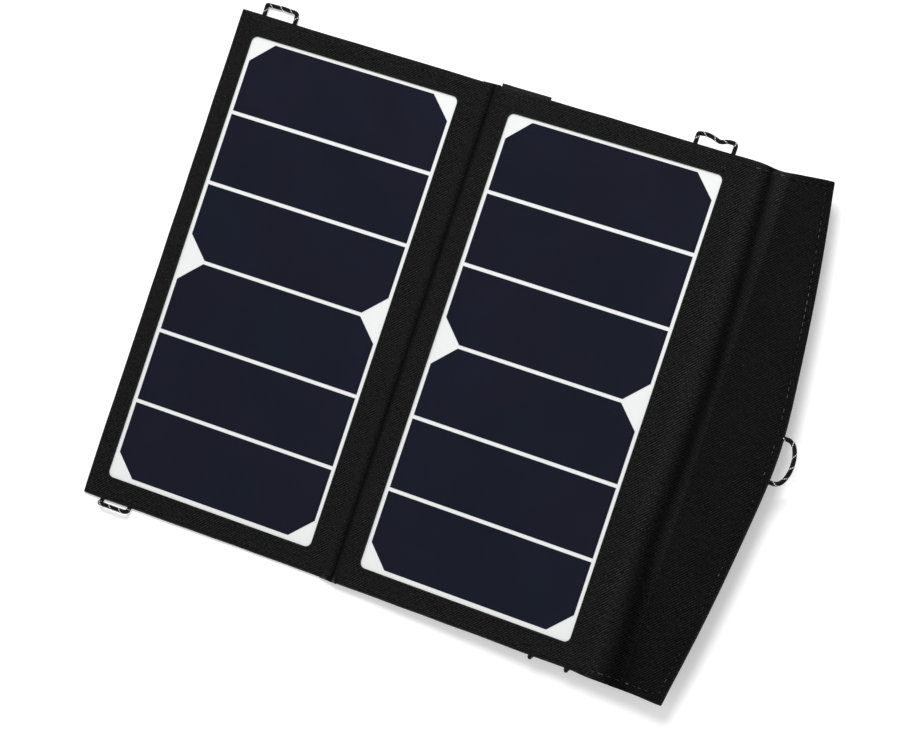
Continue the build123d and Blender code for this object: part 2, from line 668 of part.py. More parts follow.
def board_parts():
    """The larger parts soldered under the circuit board."""
    def stands(height):
        return (CIRCUIT_BOTTOM - height, CIRCUIT_BOTTOM)

    coil = slab((133, 143), (-5, 5), stands(1.2)) + rod(138, 0, stands(4.0), 4.3)
    add("output_inductor", coil, ON_RIGHT)
    capacitors = [rod(x, y, stands(4.6), 3.15) for x, y in ((134, 15), (142, -15))]
    add("output_capacitors", group(capacitors), ON_RIGHT)
    chips = [slab((x - 2.5, x + 2.5), (y - 3, y + 3), stands(1.6)) for x, y in ((131, -14), (144, 14))]
    add("regulator_chips", group(chips), ON_RIGHT)
    add("indicator_led", slab((LED_X - 1, LED_X + 1), (-0.6, 0.6), stands(0.8)), ON_RIGHT)
    pipe_top = CIRCUIT_BOTTOM - 0.9
    add("indicator_light_pipe", rod(LED_X, 0, (BOX_BOTTOM, pipe_top), LIGHT_PIPE_R), ON_RIGHT)


def output_box():
    add("output_box_base", box_base(), ON_RIGHT)
    add("output_box_cover", box_cover(), ON_RIGHT)
    add("output_box_screws", group([screw(x, y) for x, y in screw_places()]), ON_RIGHT)
    pad = slab((126, 149), (-25, 25), (BOX_TOP, 0))
    add("output_box_adhesive_pad", pad, ON_RIGHT)
    circuit = slab(CIRCUIT_X, (-CIRCUIT_Y, CIRCUIT_Y), (CIRCUIT_BOTTOM, CIRCUIT_TOP))
    add("output_circuit_board", circuit, ON_RIGHT)
    add("usb_port_shells", group([port_shell(y) for y in PORT_Y]), ON_RIGHT)
    add("usb_port_tongues", group([port_tongue(y) for y in PORT_Y]), ON_RIGHT)
    contacts = [strip for y in PORT_Y for strip in port_contacts(y)]
    add("usb_port_contacts", group(contacts), ON_RIGHT)
    slot_x = (RIBBON_DROP_X - RIBBON - POCKET_CLEAR, RIBBON_DROP_X + POCKET_CLEAR)
    slot_y = (RIBBON_Y[0] - POCKET_CLEAR, RIBBON_Y[1] + POCKET_CLEAR)
    grommet_z = (BOX_TOP - BOX_CEILING, 0)
    grommet = slab(*grommet_span(), grommet_z) - slab(slot_x, slot_y, grommet_z)
    add("ribbon_grommet", grommet, ON_RIGHT)
    board_parts()


# ---------------------------------------------------------------- the whole charger
left_leaf()
right_leaf()
centre_fold()
closing_flap()
spine()
edge_loops()
flap_loop()
rear_pocket()
output_box()

os.makedirs("parts", exist_ok=True)
for name, shape in parts.items():
    export_step(shape, f"parts/{name}.step")
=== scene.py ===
import json
import math

import bpy
import numpy as np
from mathutils import Matrix, Vector, noise

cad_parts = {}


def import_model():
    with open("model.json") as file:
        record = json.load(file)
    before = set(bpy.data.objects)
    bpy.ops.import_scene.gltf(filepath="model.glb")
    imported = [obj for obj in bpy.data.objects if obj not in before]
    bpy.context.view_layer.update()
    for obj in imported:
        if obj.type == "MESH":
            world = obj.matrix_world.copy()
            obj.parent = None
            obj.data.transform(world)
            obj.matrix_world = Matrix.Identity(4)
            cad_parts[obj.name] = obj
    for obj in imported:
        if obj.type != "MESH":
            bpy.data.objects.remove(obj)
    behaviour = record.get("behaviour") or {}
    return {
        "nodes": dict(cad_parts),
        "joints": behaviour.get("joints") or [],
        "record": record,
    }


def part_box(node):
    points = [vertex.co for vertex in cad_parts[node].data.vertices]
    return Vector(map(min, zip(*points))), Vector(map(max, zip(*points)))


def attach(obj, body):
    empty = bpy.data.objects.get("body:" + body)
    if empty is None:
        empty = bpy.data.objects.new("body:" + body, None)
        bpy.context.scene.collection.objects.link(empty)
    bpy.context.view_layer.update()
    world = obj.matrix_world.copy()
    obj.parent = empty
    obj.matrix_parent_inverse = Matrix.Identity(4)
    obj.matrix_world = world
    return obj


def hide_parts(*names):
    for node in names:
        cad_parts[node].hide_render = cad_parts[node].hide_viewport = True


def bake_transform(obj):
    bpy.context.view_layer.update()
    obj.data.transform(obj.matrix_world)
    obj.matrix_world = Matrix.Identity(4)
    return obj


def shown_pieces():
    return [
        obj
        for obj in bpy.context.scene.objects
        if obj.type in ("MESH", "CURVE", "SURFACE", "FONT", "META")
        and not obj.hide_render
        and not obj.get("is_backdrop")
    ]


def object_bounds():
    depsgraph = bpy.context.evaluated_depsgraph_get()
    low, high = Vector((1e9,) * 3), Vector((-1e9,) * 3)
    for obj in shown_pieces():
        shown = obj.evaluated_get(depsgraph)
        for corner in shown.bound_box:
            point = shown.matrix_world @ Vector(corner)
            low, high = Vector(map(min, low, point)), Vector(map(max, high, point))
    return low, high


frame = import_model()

# Looks of the folding solar charger. Every piece is worked out in millimetres in one leaf's own
# frame (x from the centre fold, y up the leaf, z from its rear face) and then put in the row
# frame, in metres. Left-leaf pieces use the same positive x and are mirrored as they are placed.

cad_low, cad_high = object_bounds()
MM = 0.001
LEFT, RIGHT = -1, 1
NAMES = {LEFT: "left", RIGHT: "right"}

# ---------------------------------------------------------------- sizes that match the CAD, in mm
FOLD_HALF = 5.0
LEAF_FRONT = 3.3       # front face of a leaf
FILM_TOP = 2.7         # front face of the solar laminate
FLAP_FRONT = 2.4
SPINE_START = 158.5
FLAP_START = 181.0
WINDOW_MARGIN = {"side": 2.3, "top": 2.0, "bottom": 2.7}  # white border round the cells
WINDOW_CORNER = 3.5
LAMINATE_LAP = 4.0
CORD_R = 1.25
SEAM_Z = 1.5           # where the front and rear fabrics meet round a leaf
FLAP_SEAM_Z = 1.2
CLOTH = 0.3            # thickness of the visible cloth skins
CORNER = 0.8           # outer corners of the left leaf and of the flap


# ---------------------------------------------------------------- frames
def joint(name):
    return next(j for j in frame["joints"] if j["name"] == name)


def node_points(node):
    return np.array([v.co for v in frame["nodes"][node].data.vertices], float)


def right_matrix():
    """The right leaf's own frame, from the zip pull's hinge axis and the leaf's rear fabric."""
    axis = joint("zip_pull_swing")["axis"]
    tilt = math.atan2(-axis[2], -axis[0])
    turn = Matrix.Rotation(-tilt, 4, "Y")
    level = node_points("right_rear_fabric") @ np.array(turn.to_3x3())
    low = level.min(0)
    return turn @ Matrix.Translation((low[0] - FOLD_HALF * MM, 0, low[2]))


def left_matrix():
    return Matrix.Translation((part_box("left_rear_fabric")[1].x + FOLD_HALF * MM, 0, 0))


FRAMES = {LEFT: left_matrix(), RIGHT: right_matrix()}


def to_row(points, side, mirrored=None):
    """Leaf millimetres to row metres."""
    p = np.array(points, float).reshape(-1, 3) * MM
    if (side == LEFT) if mirrored is None else mirrored:
        p = p * (-1, 1, 1)
    m = np.array(FRAMES[side])
    return p @ m[:3, :3].T + m[:3, 3]


def to_leaf(points, side):
    """Row metres to leaf millimetres."""
    m = np.array(FRAMES[side].inverted())
    p = (np.array(points, float) @ m[:3, :3].T + m[:3, 3]) / MM
    return p * (-1, 1, 1) if side == LEFT else p


def leaf_box(node, side):
    """Lowest and highest corners of a CAD node in its leaf's frame."""
    p = to_leaf(node_points(node), side)
    return p.min(0), p.max(0)


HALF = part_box("left_rear_fabric")[1].y / MM
EDGE = {LEFT: leaf_box("left_rear_fabric", LEFT)[1][0], RIGHT: SPINE_START}
CELLS = leaf_box("right_solar_cells", RIGHT)
WINDOW_X = (CELLS[0][0] - WINDOW_MARGIN["side"], CELLS[1][0] + WINDOW_MARGIN["side"])
WINDOW_Y = (CELLS[0][1] - WINDOW_MARGIN["bottom"], CELLS[1][1] + WINDOW_MARGIN["top"])


# ---------------------------------------------------------------- small maths
def smooth(t):
    t = np.clip(t, 0, 1)
    return t * t * (3 - 2 * t)


def hump(x, centre, width):
    """1 at the centre, falling away as a bell of this width."""
    return np.exp(-((np.asarray(x, float) - centre) / width) ** 2)


def rough(points, scale, seed):
    """Perlin noise, about -1 to 1, at each row of points, with features of this size in mm."""
    points = np.asarray(points, float)
    shift = np.array((7.31, 3.17, 1.93)) * seed
    at = np.zeros((*points.shape[:-1], 3))
    at[..., :points.shape[-1]] = points / scale
    out = [noise.noise(p) for p in (at + shift).reshape(-1, 3).tolist()]
    return np.array(out).reshape(points.shape[:-1])


def flat(x, y):
    """Points of a plane, for rough()."""
    return np.stack([x, y], -1)


def run_length(path):
    """Distance along a path at each of its points."""
    return np.concatenate([[0], np.cumsum(np.linalg.norm(np.diff(path, axis=0), axis=1))])


def round_over(d, reach, drop):
    """How far a rounded edge has dropped at distance d from it."""
    t = np.clip(1 - np.asarray(d, float) / reach, 0, 1)
    return drop * (1 - np.sqrt(1 - t * t))


def spline(knots, samples):
    """Catmull-Rom curve through knots, at this many even steps of its parameter."""
    k = np.array(knots, float)
    k = np.vstack([2 * k[0] - k[1], k, 2 * k[-1] - k[-2]])
    t = np.linspace(0, len(k) - 3 - 1e-9, samples)
    i = t.astype(int)
    f = (t - i)[:, None]
    a, b, c, d = k[i], k[i + 1], k[i + 2], k[i + 3]
    return 0.5 * (2 * b + (c - a) * f + (2 * a - 5 * b + 4 * c - d) * f * f
                  + (3 * b - a - 3 * c + d) * f ** 3)


def spaced(low, high, step, low_fine=(), high_fine=()):
    """Values from low to high at about this step, with extra ones at set distances in from each end."""
    start = low + (max(low_fine) if low_fine else 0)
    stop = high - (max(high_fine) if high_fine else 0)
    middle = np.linspace(start, stop, max(2, int(round((stop - start) / step)) + 1))
    ends = [low + f for f in low_fine] + [high - f for f in high_fine] + [low, high]
    return np.unique(np.round(np.concatenate([middle, ends]), 5))


RIM_FINE = (0.1, 0.25, 0.5, 0.8, 1.2, 1.6, 2.2, 2.9, 3.4, 3.8, 4.3, 5.0, 6.2, 8.0)


# ---------------------------------------------------------------- mesh building
def grid_faces(rows, columns, flip=False, wrap=False):
    """Quads over a grid of points held row by row."""
    span = rows if wrap else rows - 1
    r, c = np.meshgrid(np.arange(span), np.arange(columns - 1), indexing="ij")
    a = (r * columns + c).ravel()
    b = ((r + 1) % rows * columns + c).ravel()
    quads = np.stack([a, b, b + 1, a + 1], 1)
    return (quads[:, ::-1] if flip else quads).tolist()


def keep_rims_crisp(mesh):
    """Marks open edges sharp, so that a thickened sheet shades evenly right up to its rim."""
    used = np.zeros(len(mesh.loops), np.int32)
    mesh.loops.foreach_get("edge_index", used)
    rim = np.bincount(used, minlength=len(mesh.edges)) == 1
    sharp = mesh.attributes.new("sharp_edge", "BOOLEAN", "EDGE")
    sharp.data.foreach_set("value", rim)


def make(name, points, faces, materials, uv=None, shade=None, thick=0.0):
    """A mesh object from row-frame points. uv is in metres of cloth; shade is painted light in its colour:
    below 1 painted shade in creases, grooves and seams, above 1 painted highlight on lit edges and ridges.
    """
    mesh = bpy.data.meshes.new(name)
    mesh.from_pydata(np.asarray(points).tolist(), [], faces)
    mesh.update()
    materials = materials if isinstance(materials, (list, tuple)) else [materials]
    for material in materials:
        mesh.materials.append(material)
    mesh.polygons.foreach_set("use_smooth", [True] * len(mesh.polygons))
    if uv is not None:
        layer = mesh.uv_layers.new(name="cloth")
        corner = np.zeros(len(mesh.loops), np.int32)
        mesh.loops.foreach_get("vertex_index", corner)
        layer.data.foreach_set("uv", np.asarray(uv, np.float32)[corner].ravel())
    values = np.ones(len(mesh.vertices)) if shade is None else np.asarray(shade)
    keep_rims_crisp(mesh)
    attribute = mesh.attributes.new("shade", "FLOAT", "POINT")
    attribute.data.foreach_set("value", values.astype(np.float32))
    obj = bpy.data.objects.new(name, mesh)
    bpy.context.scene.collection.objects.link(obj)
    if thick:
        skin = obj.modifiers.new("thickness", "SOLIDIFY")
        skin.thickness = thick * MM
        skin.offset = -1
    return obj


def tube(path, radius, sides, normals=None):
    """Points and faces of a closed tube along a path, with capped ends."""
    path = np.asarray(path, float)
    tangent = np.gradient(path, axis=0)
    tangent /= np.linalg.norm(tangent, axis=1)[:, None]
    if normals is None:
        normals = carry_frame(tangent)
    across = np.cross(tangent, normals)
    radius = np.broadcast_to(np.asarray(radius, float), (len(path),))
    angle = np.linspace(0, 2 * math.pi, sides, endpoint=False)
    ring = (normals[:, None] * np.cos(angle)[None, :, None]
            + across[:, None] * np.sin(angle)[None, :, None])
    points = (path[:, None] + ring * radius[:, None, None]).reshape(-1, 3)
    faces = []
    for row in range(len(path) - 1):
        for k in range(sides):
            a, b = row * sides + k, row * sides + (k + 1) % sides
            faces.append([a, b, b + sides, a + sides])
    last = (len(path) - 1) * sides
    faces.append(list(range(sides))[::-1])
    faces.append([last + k for k in range(sides)])
    return points, faces


def carry_frame(tangent):
    """A normal for each tangent, carried along the path without twist."""
    first = np.cross(tangent[0], (0, 0, 1.0))
    if np.linalg.norm(first) < 1e-3:
        first = np.cross(tangent[0], (1.0, 0, 0))
    normals = [first / np.linalg.norm(first)]
    for t in tangent[1:]:
        n = normals[-1] - t * (normals[-1] @ t)
        normals.append(n / np.linalg.norm(n))
    return np.array(normals)


class Parts:
    """Gathers many small shapes into one mesh."""

    def __init__(self):
        self.points, self.faces, self.slots = [], [], []
        self.count = 0

    def add(self, points, faces, slot=0):
        self.points.append(points)
        self.faces += [[i + self.count for i in f] for f in faces]
        self.slots += [slot] * len(faces)
        self.count += len(points)

    def build(self, name, side, materials, slot=None, mirrored=False):
        obj = make(name, to_row(np.vstack(self.points), side, mirrored), self.faces, materials)
        obj.data.polygons.foreach_set("material_index", self.slots)
        return obj


def sheet(name, grid, side, material, uv=None, shade=None, thick=CLOTH, flip=False, wrap=False,
          mirrored=None, node=None, body=None):
    """A thickened sheet over a grid of leaf millimetres, standing for a node and riding on a body."""
    points = to_row(np.stack(grid, -1).reshape(-1, 3), side, mirrored)
    faces = grid_faces(*grid[0].shape, flip=flip, wrap=wrap)
    shade = None if shade is None else shade.ravel()
    obj = make(name, points, faces, MATERIALS[material], uv, shade, thick)
    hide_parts(node)
    if body:
        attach(obj, body)
    return obj


# ---------------------------------------------------------------- material graphs
COLORS = {m["slot"]: m["base_color"] for m in frame["record"]["materials"]}


class Graph:
    """A node material, built up one call at a time."""

    def __init__(self, name):
        self.material = bpy.data.materials.new(name)
        self.material.use_nodes = True
        self.tree = self.material.node_tree
        self.tree.nodes.clear()

    def node(self, kind, inputs=(), **settings):
        made = self.tree.nodes.new(kind)
        for key, value in settings.items():
            setattr(made, key, value)
        for key, value in dict(inputs).items():
            self.feed(made.inputs[key], value)
        return made

    def feed(self, socket, value):
        if isinstance(value, bpy.types.NodeSocket):
            self.tree.links.new(value, socket)
        elif value is not None:
            socket.default_value = value

    def math(self, operation, a, b=None, c=None):
        made = self.node("ShaderNodeMath", operation=operation)
        for socket, value in zip(made.inputs, (a, b, c)):
            self.feed(socket, value)
        return made.outputs[0]

    def add(self, a, b):
        return self.math("ADD", a, b)

    def times(self, a, b):
        return self.math("MULTIPLY", a, b)

    def between(self, value, low, high):
        """Turns 0..1 into low..high."""
        return self.math("MULTIPLY_ADD", value, high - low, low)

    def where(self, source="Object"):
        return self.node("ShaderNodeTexCoord").outputs[source]

    def cloth(self):
        return self.node("ShaderNodeUVMap", uv_map="cloth").outputs[0]

    def noise(self, vector, size, detail=2.0, roughness=0.5, distortion=0.0):
        """Fractal noise with features of this size in mm."""
        inputs = {"Vector": vector, "Scale": 1 / (size * MM), "Detail": detail,
                  "Roughness": roughness, "Distortion": distortion}
        return self.node("ShaderNodeTexNoise", inputs).outputs[0]

    def voronoi(self, vector, size, feature="F1"):
        inputs = {"Vector": vector, "Scale": 1 / (size * MM)}
        return self.node("ShaderNodeTexVoronoi", inputs, feature=feature).outputs[0]

    def step(self, value, low, high):
        """0 below low and 1 above high, smooth between."""
        inputs = {"Value": value, "From Min": low, "From Max": high}
        return self.node("ShaderNodeMapRange", inputs, interpolation_type="SMOOTHSTEP").outputs[0]

    def tint(self, color, factor):
        """A colour scaled by a factor."""
        made = self.node("ShaderNodeVectorMath", operation="SCALE")
        self.feed(made.inputs[0], color if isinstance(color, bpy.types.NodeSocket) else color[:3])
        self.feed(made.inputs["Scale"], factor)
        return made.outputs[0]

    def mix(self, factor, a, b):
        made = self.node("ShaderNodeMix", data_type="RGBA")
        self.feed(made.inputs[0], factor)
        for index, value in ((6, a), (7, b)):
            if not isinstance(value, bpy.types.NodeSocket):
                value = (*value[:3], 1)
            self.feed(made.inputs[index], value)
        return made.outputs[2]

    def shade(self):
        # the mesh's shade attribute: painted shade and painted highlights
        return self.node("ShaderNodeAttribute", attribute_name="shade").outputs["Fac"]

    def bump(self, height, depth, normal=None, strength=1.0):
        """Bump whose height of 1 stands for this depth in mm."""
        inputs = {"Height": height, "Distance": depth * MM, "Strength": strength}
        made = self.node("ShaderNodeBump", inputs)
        if normal is not None:
            self.feed(made.inputs["Normal"], normal)
        return made.outputs[0]

    def surface(self, **inputs):
        """Ends the graph with a Principled surface. Underscores in names stand for spaces."""
        named = {key.replace("_", " "): value for key, value in inputs.items()}
        if not isinstance(named.get("Base Color"), bpy.types.NodeSocket):
            named["Base Color"] = (*named["Base Color"][:3], 1)
        principled = self.node("ShaderNodeBsdfPrincipled", named)
        return self.finish(principled.outputs[0])

    def finish(self, shader):
        self.node("ShaderNodeOutputMaterial", {"Surface": shader})
        return self.material


def twill(g, vector, pitch):
    """Two-up two-down twill, threads at this pitch in mm: height, each float's tone and the warp mask."""
    xyz = g.node("ShaderNodeSeparateXYZ", {"Vector": vector})
    u, v = (g.times(xyz.outputs[axis], 1 / (pitch * MM)) for axis in (0, 1))
    cell_u, cell_v = g.math("FLOOR", u), g.math("FLOOR", v)
    across_u, across_v = g.math("FRACT", u), g.math("FRACT", v)
    order = g.math("FLOORED_MODULO", g.math("SUBTRACT", cell_u, cell_v), 4.0)
    is_warp = g.math("LESS_THAN", order, 1.5)
    warp_along = g.times(g.add(g.math("SUBTRACT", 1.0, order), across_v), 0.5)
    weft_along = g.times(g.add(g.math("SUBTRACT", order, 2.0), across_u), 0.5)
    heights, tones = [], []
    for across, along, pair in ((across_u, warp_along, (cell_u, g.times(cell_v, 0.21))),
                                (across_v, weft_along, (g.times(cell_u, 0.21), cell_v))):
        round_thread = g.math("SINE", g.times(across, math.pi))
        long_float = g.between(g.math("SINE", g.times(along, math.pi)), 0.35, 1.0)
        heights.append(g.times(round_thread, long_float))
        at = g.node("ShaderNodeCombineXYZ", {"X": pair[0], "Y": pair[1]}).outputs[0]
        tones.append(g.node("ShaderNodeTexNoise", {"Vector": at, "Scale": 1.0, "Detail": 1.0}).outputs[0])
    height = g.node("ShaderNodeMix", {0: is_warp, 2: heights[1], 3: heights[0]}).outputs[0]
    tone = g.node("ShaderNodeMix", {0: is_warp, 2: tones[1], 3: tones[0]}).outputs[0]
    return height, g.step(tone, 0.3, 0.7), is_warp


def fabric(name, color, pitch, relief=0.1, mottle=0.2):
    """Twill polyester: diagonal floats and thread-to-thread variation, with painted light: painted shade
    between threads and painted highlights on their crests, painted sheen on the warp floats, painted glints,
    and painted shade in creases and painted highlights from the shade attribute.
    """
    g = Graph(name)
    vector = g.cloth()
    height, bright, is_warp = twill(g, vector, pitch)
    patches = g.noise(vector, 24.0, 3.0, 0.6)
    # sheen_patches: how strong the painted sheen of the warp floats is, patch by patch
    sheen_patches = g.step(g.noise(vector, 9.0, 3.0, 0.6), 0.35, 0.65)
    # painted glints: sparse bright specks on the cloth
    painted_glints = g.step(g.noise(vector, 0.8, 1.0), 0.6, 0.72)
    # painted sheen: warp floats lighter than weft floats
    line = g.add(1.0, g.times(g.between(is_warp, -0.85, 0.85), g.between(sheen_patches, 0.4, 1.0)))
    # painted shade between the threads and painted highlight on their crests, times each float's own tone
    tone = g.times(g.between(height, 0.3, 1.6), g.between(bright, 0.2, 1.9))
    tone = g.times(tone, line)
    tone = g.times(tone, g.between(patches, 1 - mottle, 1 + mottle))
    tone = g.times(tone, g.between(painted_glints, 1.0, 2.8))
    # painted shade and painted highlights from the mesh's shade attribute
    tone = g.times(tone, g.shade())
    normal = g.bump(height, relief)
    normal = g.bump(patches, 0.5, normal)
    return g.surface(Base_Color=g.tint(color, tone), Roughness=0.8, Normal=normal,
                     Specular_IOR_Level=g.times(g.between(is_warp, 0.05, 0.13), g.shade()))


def thread(name, color, shine=0.3, patchy=0.0):
    """Twisted thread or cord strand. Patchy thread catches the light only here and there."""
    g = Graph(name)
    at = g.where()
    fine = g.noise(at, 0.3, 2.0)
    tone = g.between(fine, 0.6, 1.4)
    if patchy:
        lit = g.step(g.noise(at, 13.0, 4.0, 0.9), 0.5, 0.64)
        tone = g.times(tone, g.between(lit, 1 - patchy, 1 + patchy))
    return g.surface(Base_Color=g.tint(color, tone), Roughness=0.6, Normal=g.bump(fine, 0.04),
                     Specular_IOR_Level=shine)


def silicon(name, color):
    """Back-contact cells: nearly even navy, with faint clouds that drift between blue and violet."""
    g = Graph(name)
    at = g.where()
    clouds = g.noise(at, 38.0, 3.0, 0.55, 0.4)
    drift = g.noise(at, 60.0, 2.0)
    hue = g.mix(g.step(drift, 0.35, 0.65), [c * f for c, f in zip(color, (1.16, 0.95, 1.02))],
                [c * f for c, f in zip(color, (0.84, 1.08, 0.98))])
    return g.surface(Base_Color=g.tint(hue, g.between(clouds, 0.72, 1.28)), Roughness=0.55,
                     Specular_IOR_Level=0.03)


def white_laminate(name, color):
    """White film with a fine embossed face."""
    g = Graph(name)
    at = g.where()
    emboss = g.voronoi(at, 0.9)
    stain = g.noise(at, 40.0, 3.0)
    tone = g.between(stain, 0.97, 1.02)
    return g.surface(Base_Color=g.tint(color, tone), Roughness=0.42, Normal=g.bump(emboss, 0.012))


def clear_film(name):
    """Clear cover: seen through, with a soft reflection that grows at glancing angles."""
    g = Graph(name)
    at = g.where()
    swell = g.noise(at, 30.0, 2.0)
    normal = g.bump(swell, 0.1)
    scuffs = g.step(g.noise(at, 9.0, 6.0, 0.75), 0.62, 0.8)
    fresnel = g.node("ShaderNodeFresnel", {"IOR": 1.38, "Normal": normal}).outputs[0]
    shine = g.node("ShaderNodeBsdfGlossy", {"Color": (1, 1, 1, 1), "Normal": normal,
                                            "Roughness": g.between(scuffs, 0.05, 0.11)})
    through = g.node("ShaderNodeBsdfTransparent", {"Color": (0.985, 0.988, 0.99, 1)})
    front = g.math("SUBTRACT", 1.0, g.node("ShaderNodeNewGeometry").outputs["Backfacing"])
    share = g.times(fresnel, front)
    mixed = g.node("ShaderNodeMixShader", {0: share, 1: through.outputs[0], 2: shine.outputs[0]})
    return g.finish(mixed.outputs[0])


def plastic(name, color, rough_level=0.5, grain=0.25, relief=0.02, specular=0.4):
    """Moulded plastic with a spark-eroded grain."""
    g = Graph(name)
    at = g.where()
    cells = g.voronoi(at, grain)
    cloud = g.noise(at, 12.0, 3.0)
    tone = g.times(g.between(cells, 0.9, 1.12), g.between(cloud, 0.93, 1.07))
    rough = g.between(cloud, rough_level - 0.07, rough_level + 0.07)
    return g.surface(Base_Color=g.tint(color, tone), Roughness=rough,
                     Normal=g.bump(cells, relief), Specular_IOR_Level=specular)


def metal(name, color, rough_level=0.3, brushed=True, wear=None):
    """Plated or brushed metal, with fine directional marks and duller spots."""
    g = Graph(name)
    at = g.where()
    scale = g.node("ShaderNodeMapping", {"Vector": at, "Scale": (1, 14, 14) if brushed else (1, 1, 1)})
    marks = g.noise(scale.outputs[0], 1.6, 3.0, 0.6)
    spots = g.noise(at, 5.0, 4.0, 0.65)
    tone = g.times(g.between(marks, 0.9, 1.08), g.between(spots, 0.92, 1.06))
    shown = g.tint(color, tone)
    if wear:
        edge = g.node("ShaderNodeNewGeometry").outputs["Pointiness"]
        shown = g.mix(g.times(g.step(edge, 0.52, 0.62), 0.5), shown, wear)
    return g.surface(Base_Color=shown, Metallic=1.0 if not wear else 0.6,
                     Roughness=g.between(spots, rough_level - 0.06, rough_level + 0.1),
                     Normal=g.bump(marks, 0.006))


def board(name, color):
    """Pressed fibre board: flecks and a matt face."""
    g = Graph(name)
    at = g.where()
    flecks = g.noise(at, 0.8, 5.0, 0.75)
    tone = g.between(flecks, 0.75, 1.2)
    return g.surface(Base_Color=g.tint(color, tone), Roughness=0.85, Normal=g.bump(flecks, 0.05))


def foam(name, color):
    """Open foam with pores."""
    g = Graph(name)
    pores = g.voronoi(g.where(), 0.6)
    return g.surface(Base_Color=g.tint(color, g.between(pores, 0.6, 1.3)), Roughness=0.9,
                     Normal=g.bump(pores, 0.12))


def circuit(name, color):
    """Solder mask over faint copper tracks."""
    g = Graph(name)
    at = g.where()
    tracks = g.node("ShaderNodeTexBrick", {"Vector": at, "Scale": 260.0, "Mortar Size": 0.03,
                                           "Color1": (0, 0, 0, 1), "Color2": (0.25, 0.25, 0.25, 1),
                                           "Mortar": (1, 1, 1, 1)}).outputs[1]
    shown = g.mix(g.times(tracks, 0.4), color, (color[0] + 0.02, color[1] * 1.7, color[2] * 1.3))
    return g.surface(Base_Color=shown, Roughness=0.28, Normal=g.bump(tracks, 0.02), Coat_Weight=0.3)


def ribbed(name, color, pitch, relief, rough_level=0.5):
    """Flat cable with lengthwise cores, along x."""
    g = Graph(name)
    at = g.where()
    y = g.node("ShaderNodeSeparateXYZ", {"Vector": at}).outputs[1]
    rib = g.math("SINE", g.times(y, 2 * math.pi / (pitch * MM)))
    cloud = g.noise(at, 4.0, 3.0)
    return g.surface(Base_Color=g.tint(color, g.between(cloud, 0.9, 1.08)), Roughness=rough_level,
                     Normal=g.bump(rib, relief))


def lamp(name, color, clear):
    """Tinted clear plastic; clear is how much light goes through."""
    g = Graph(name)
    cloud = g.noise(g.where(), 0.8, 2.0)
    return g.surface(Base_Color=g.tint(color, g.between(cloud, 0.85, 1.15)), Roughness=0.12,
                     Transmission_Weight=clear, IOR=1.49)


def tape_weave(name, color):
    """Zip tape: fine herringbone."""
    g = Graph(name)
    vector = g.cloth()
    xyz = g.node("ShaderNodeSeparateXYZ", {"Vector": vector})
    zig = g.math("PINGPONG", xyz.outputs[0], 1.6 * MM)
    diagonal = g.math("SINE", g.times(g.add(xyz.outputs[1], zig), 2 * math.pi / (0.7 * MM)))
    fibre = g.noise(vector, 0.3, 2.0)
    tone = g.times(g.between(diagonal, 0.95, 1.25), g.between(fibre, 0.75, 1.25))
    # painted shade along the seam, from the mesh's shade attribute
    tone = g.times(tone, g.shade())
    return g.surface(Base_Color=g.tint(color, tone), Roughness=0.7, Sheen_Weight=0.1,
                     Normal=g.bump(g.add(diagonal, fibre), 0.06), Specular_IOR_Level=0.25)


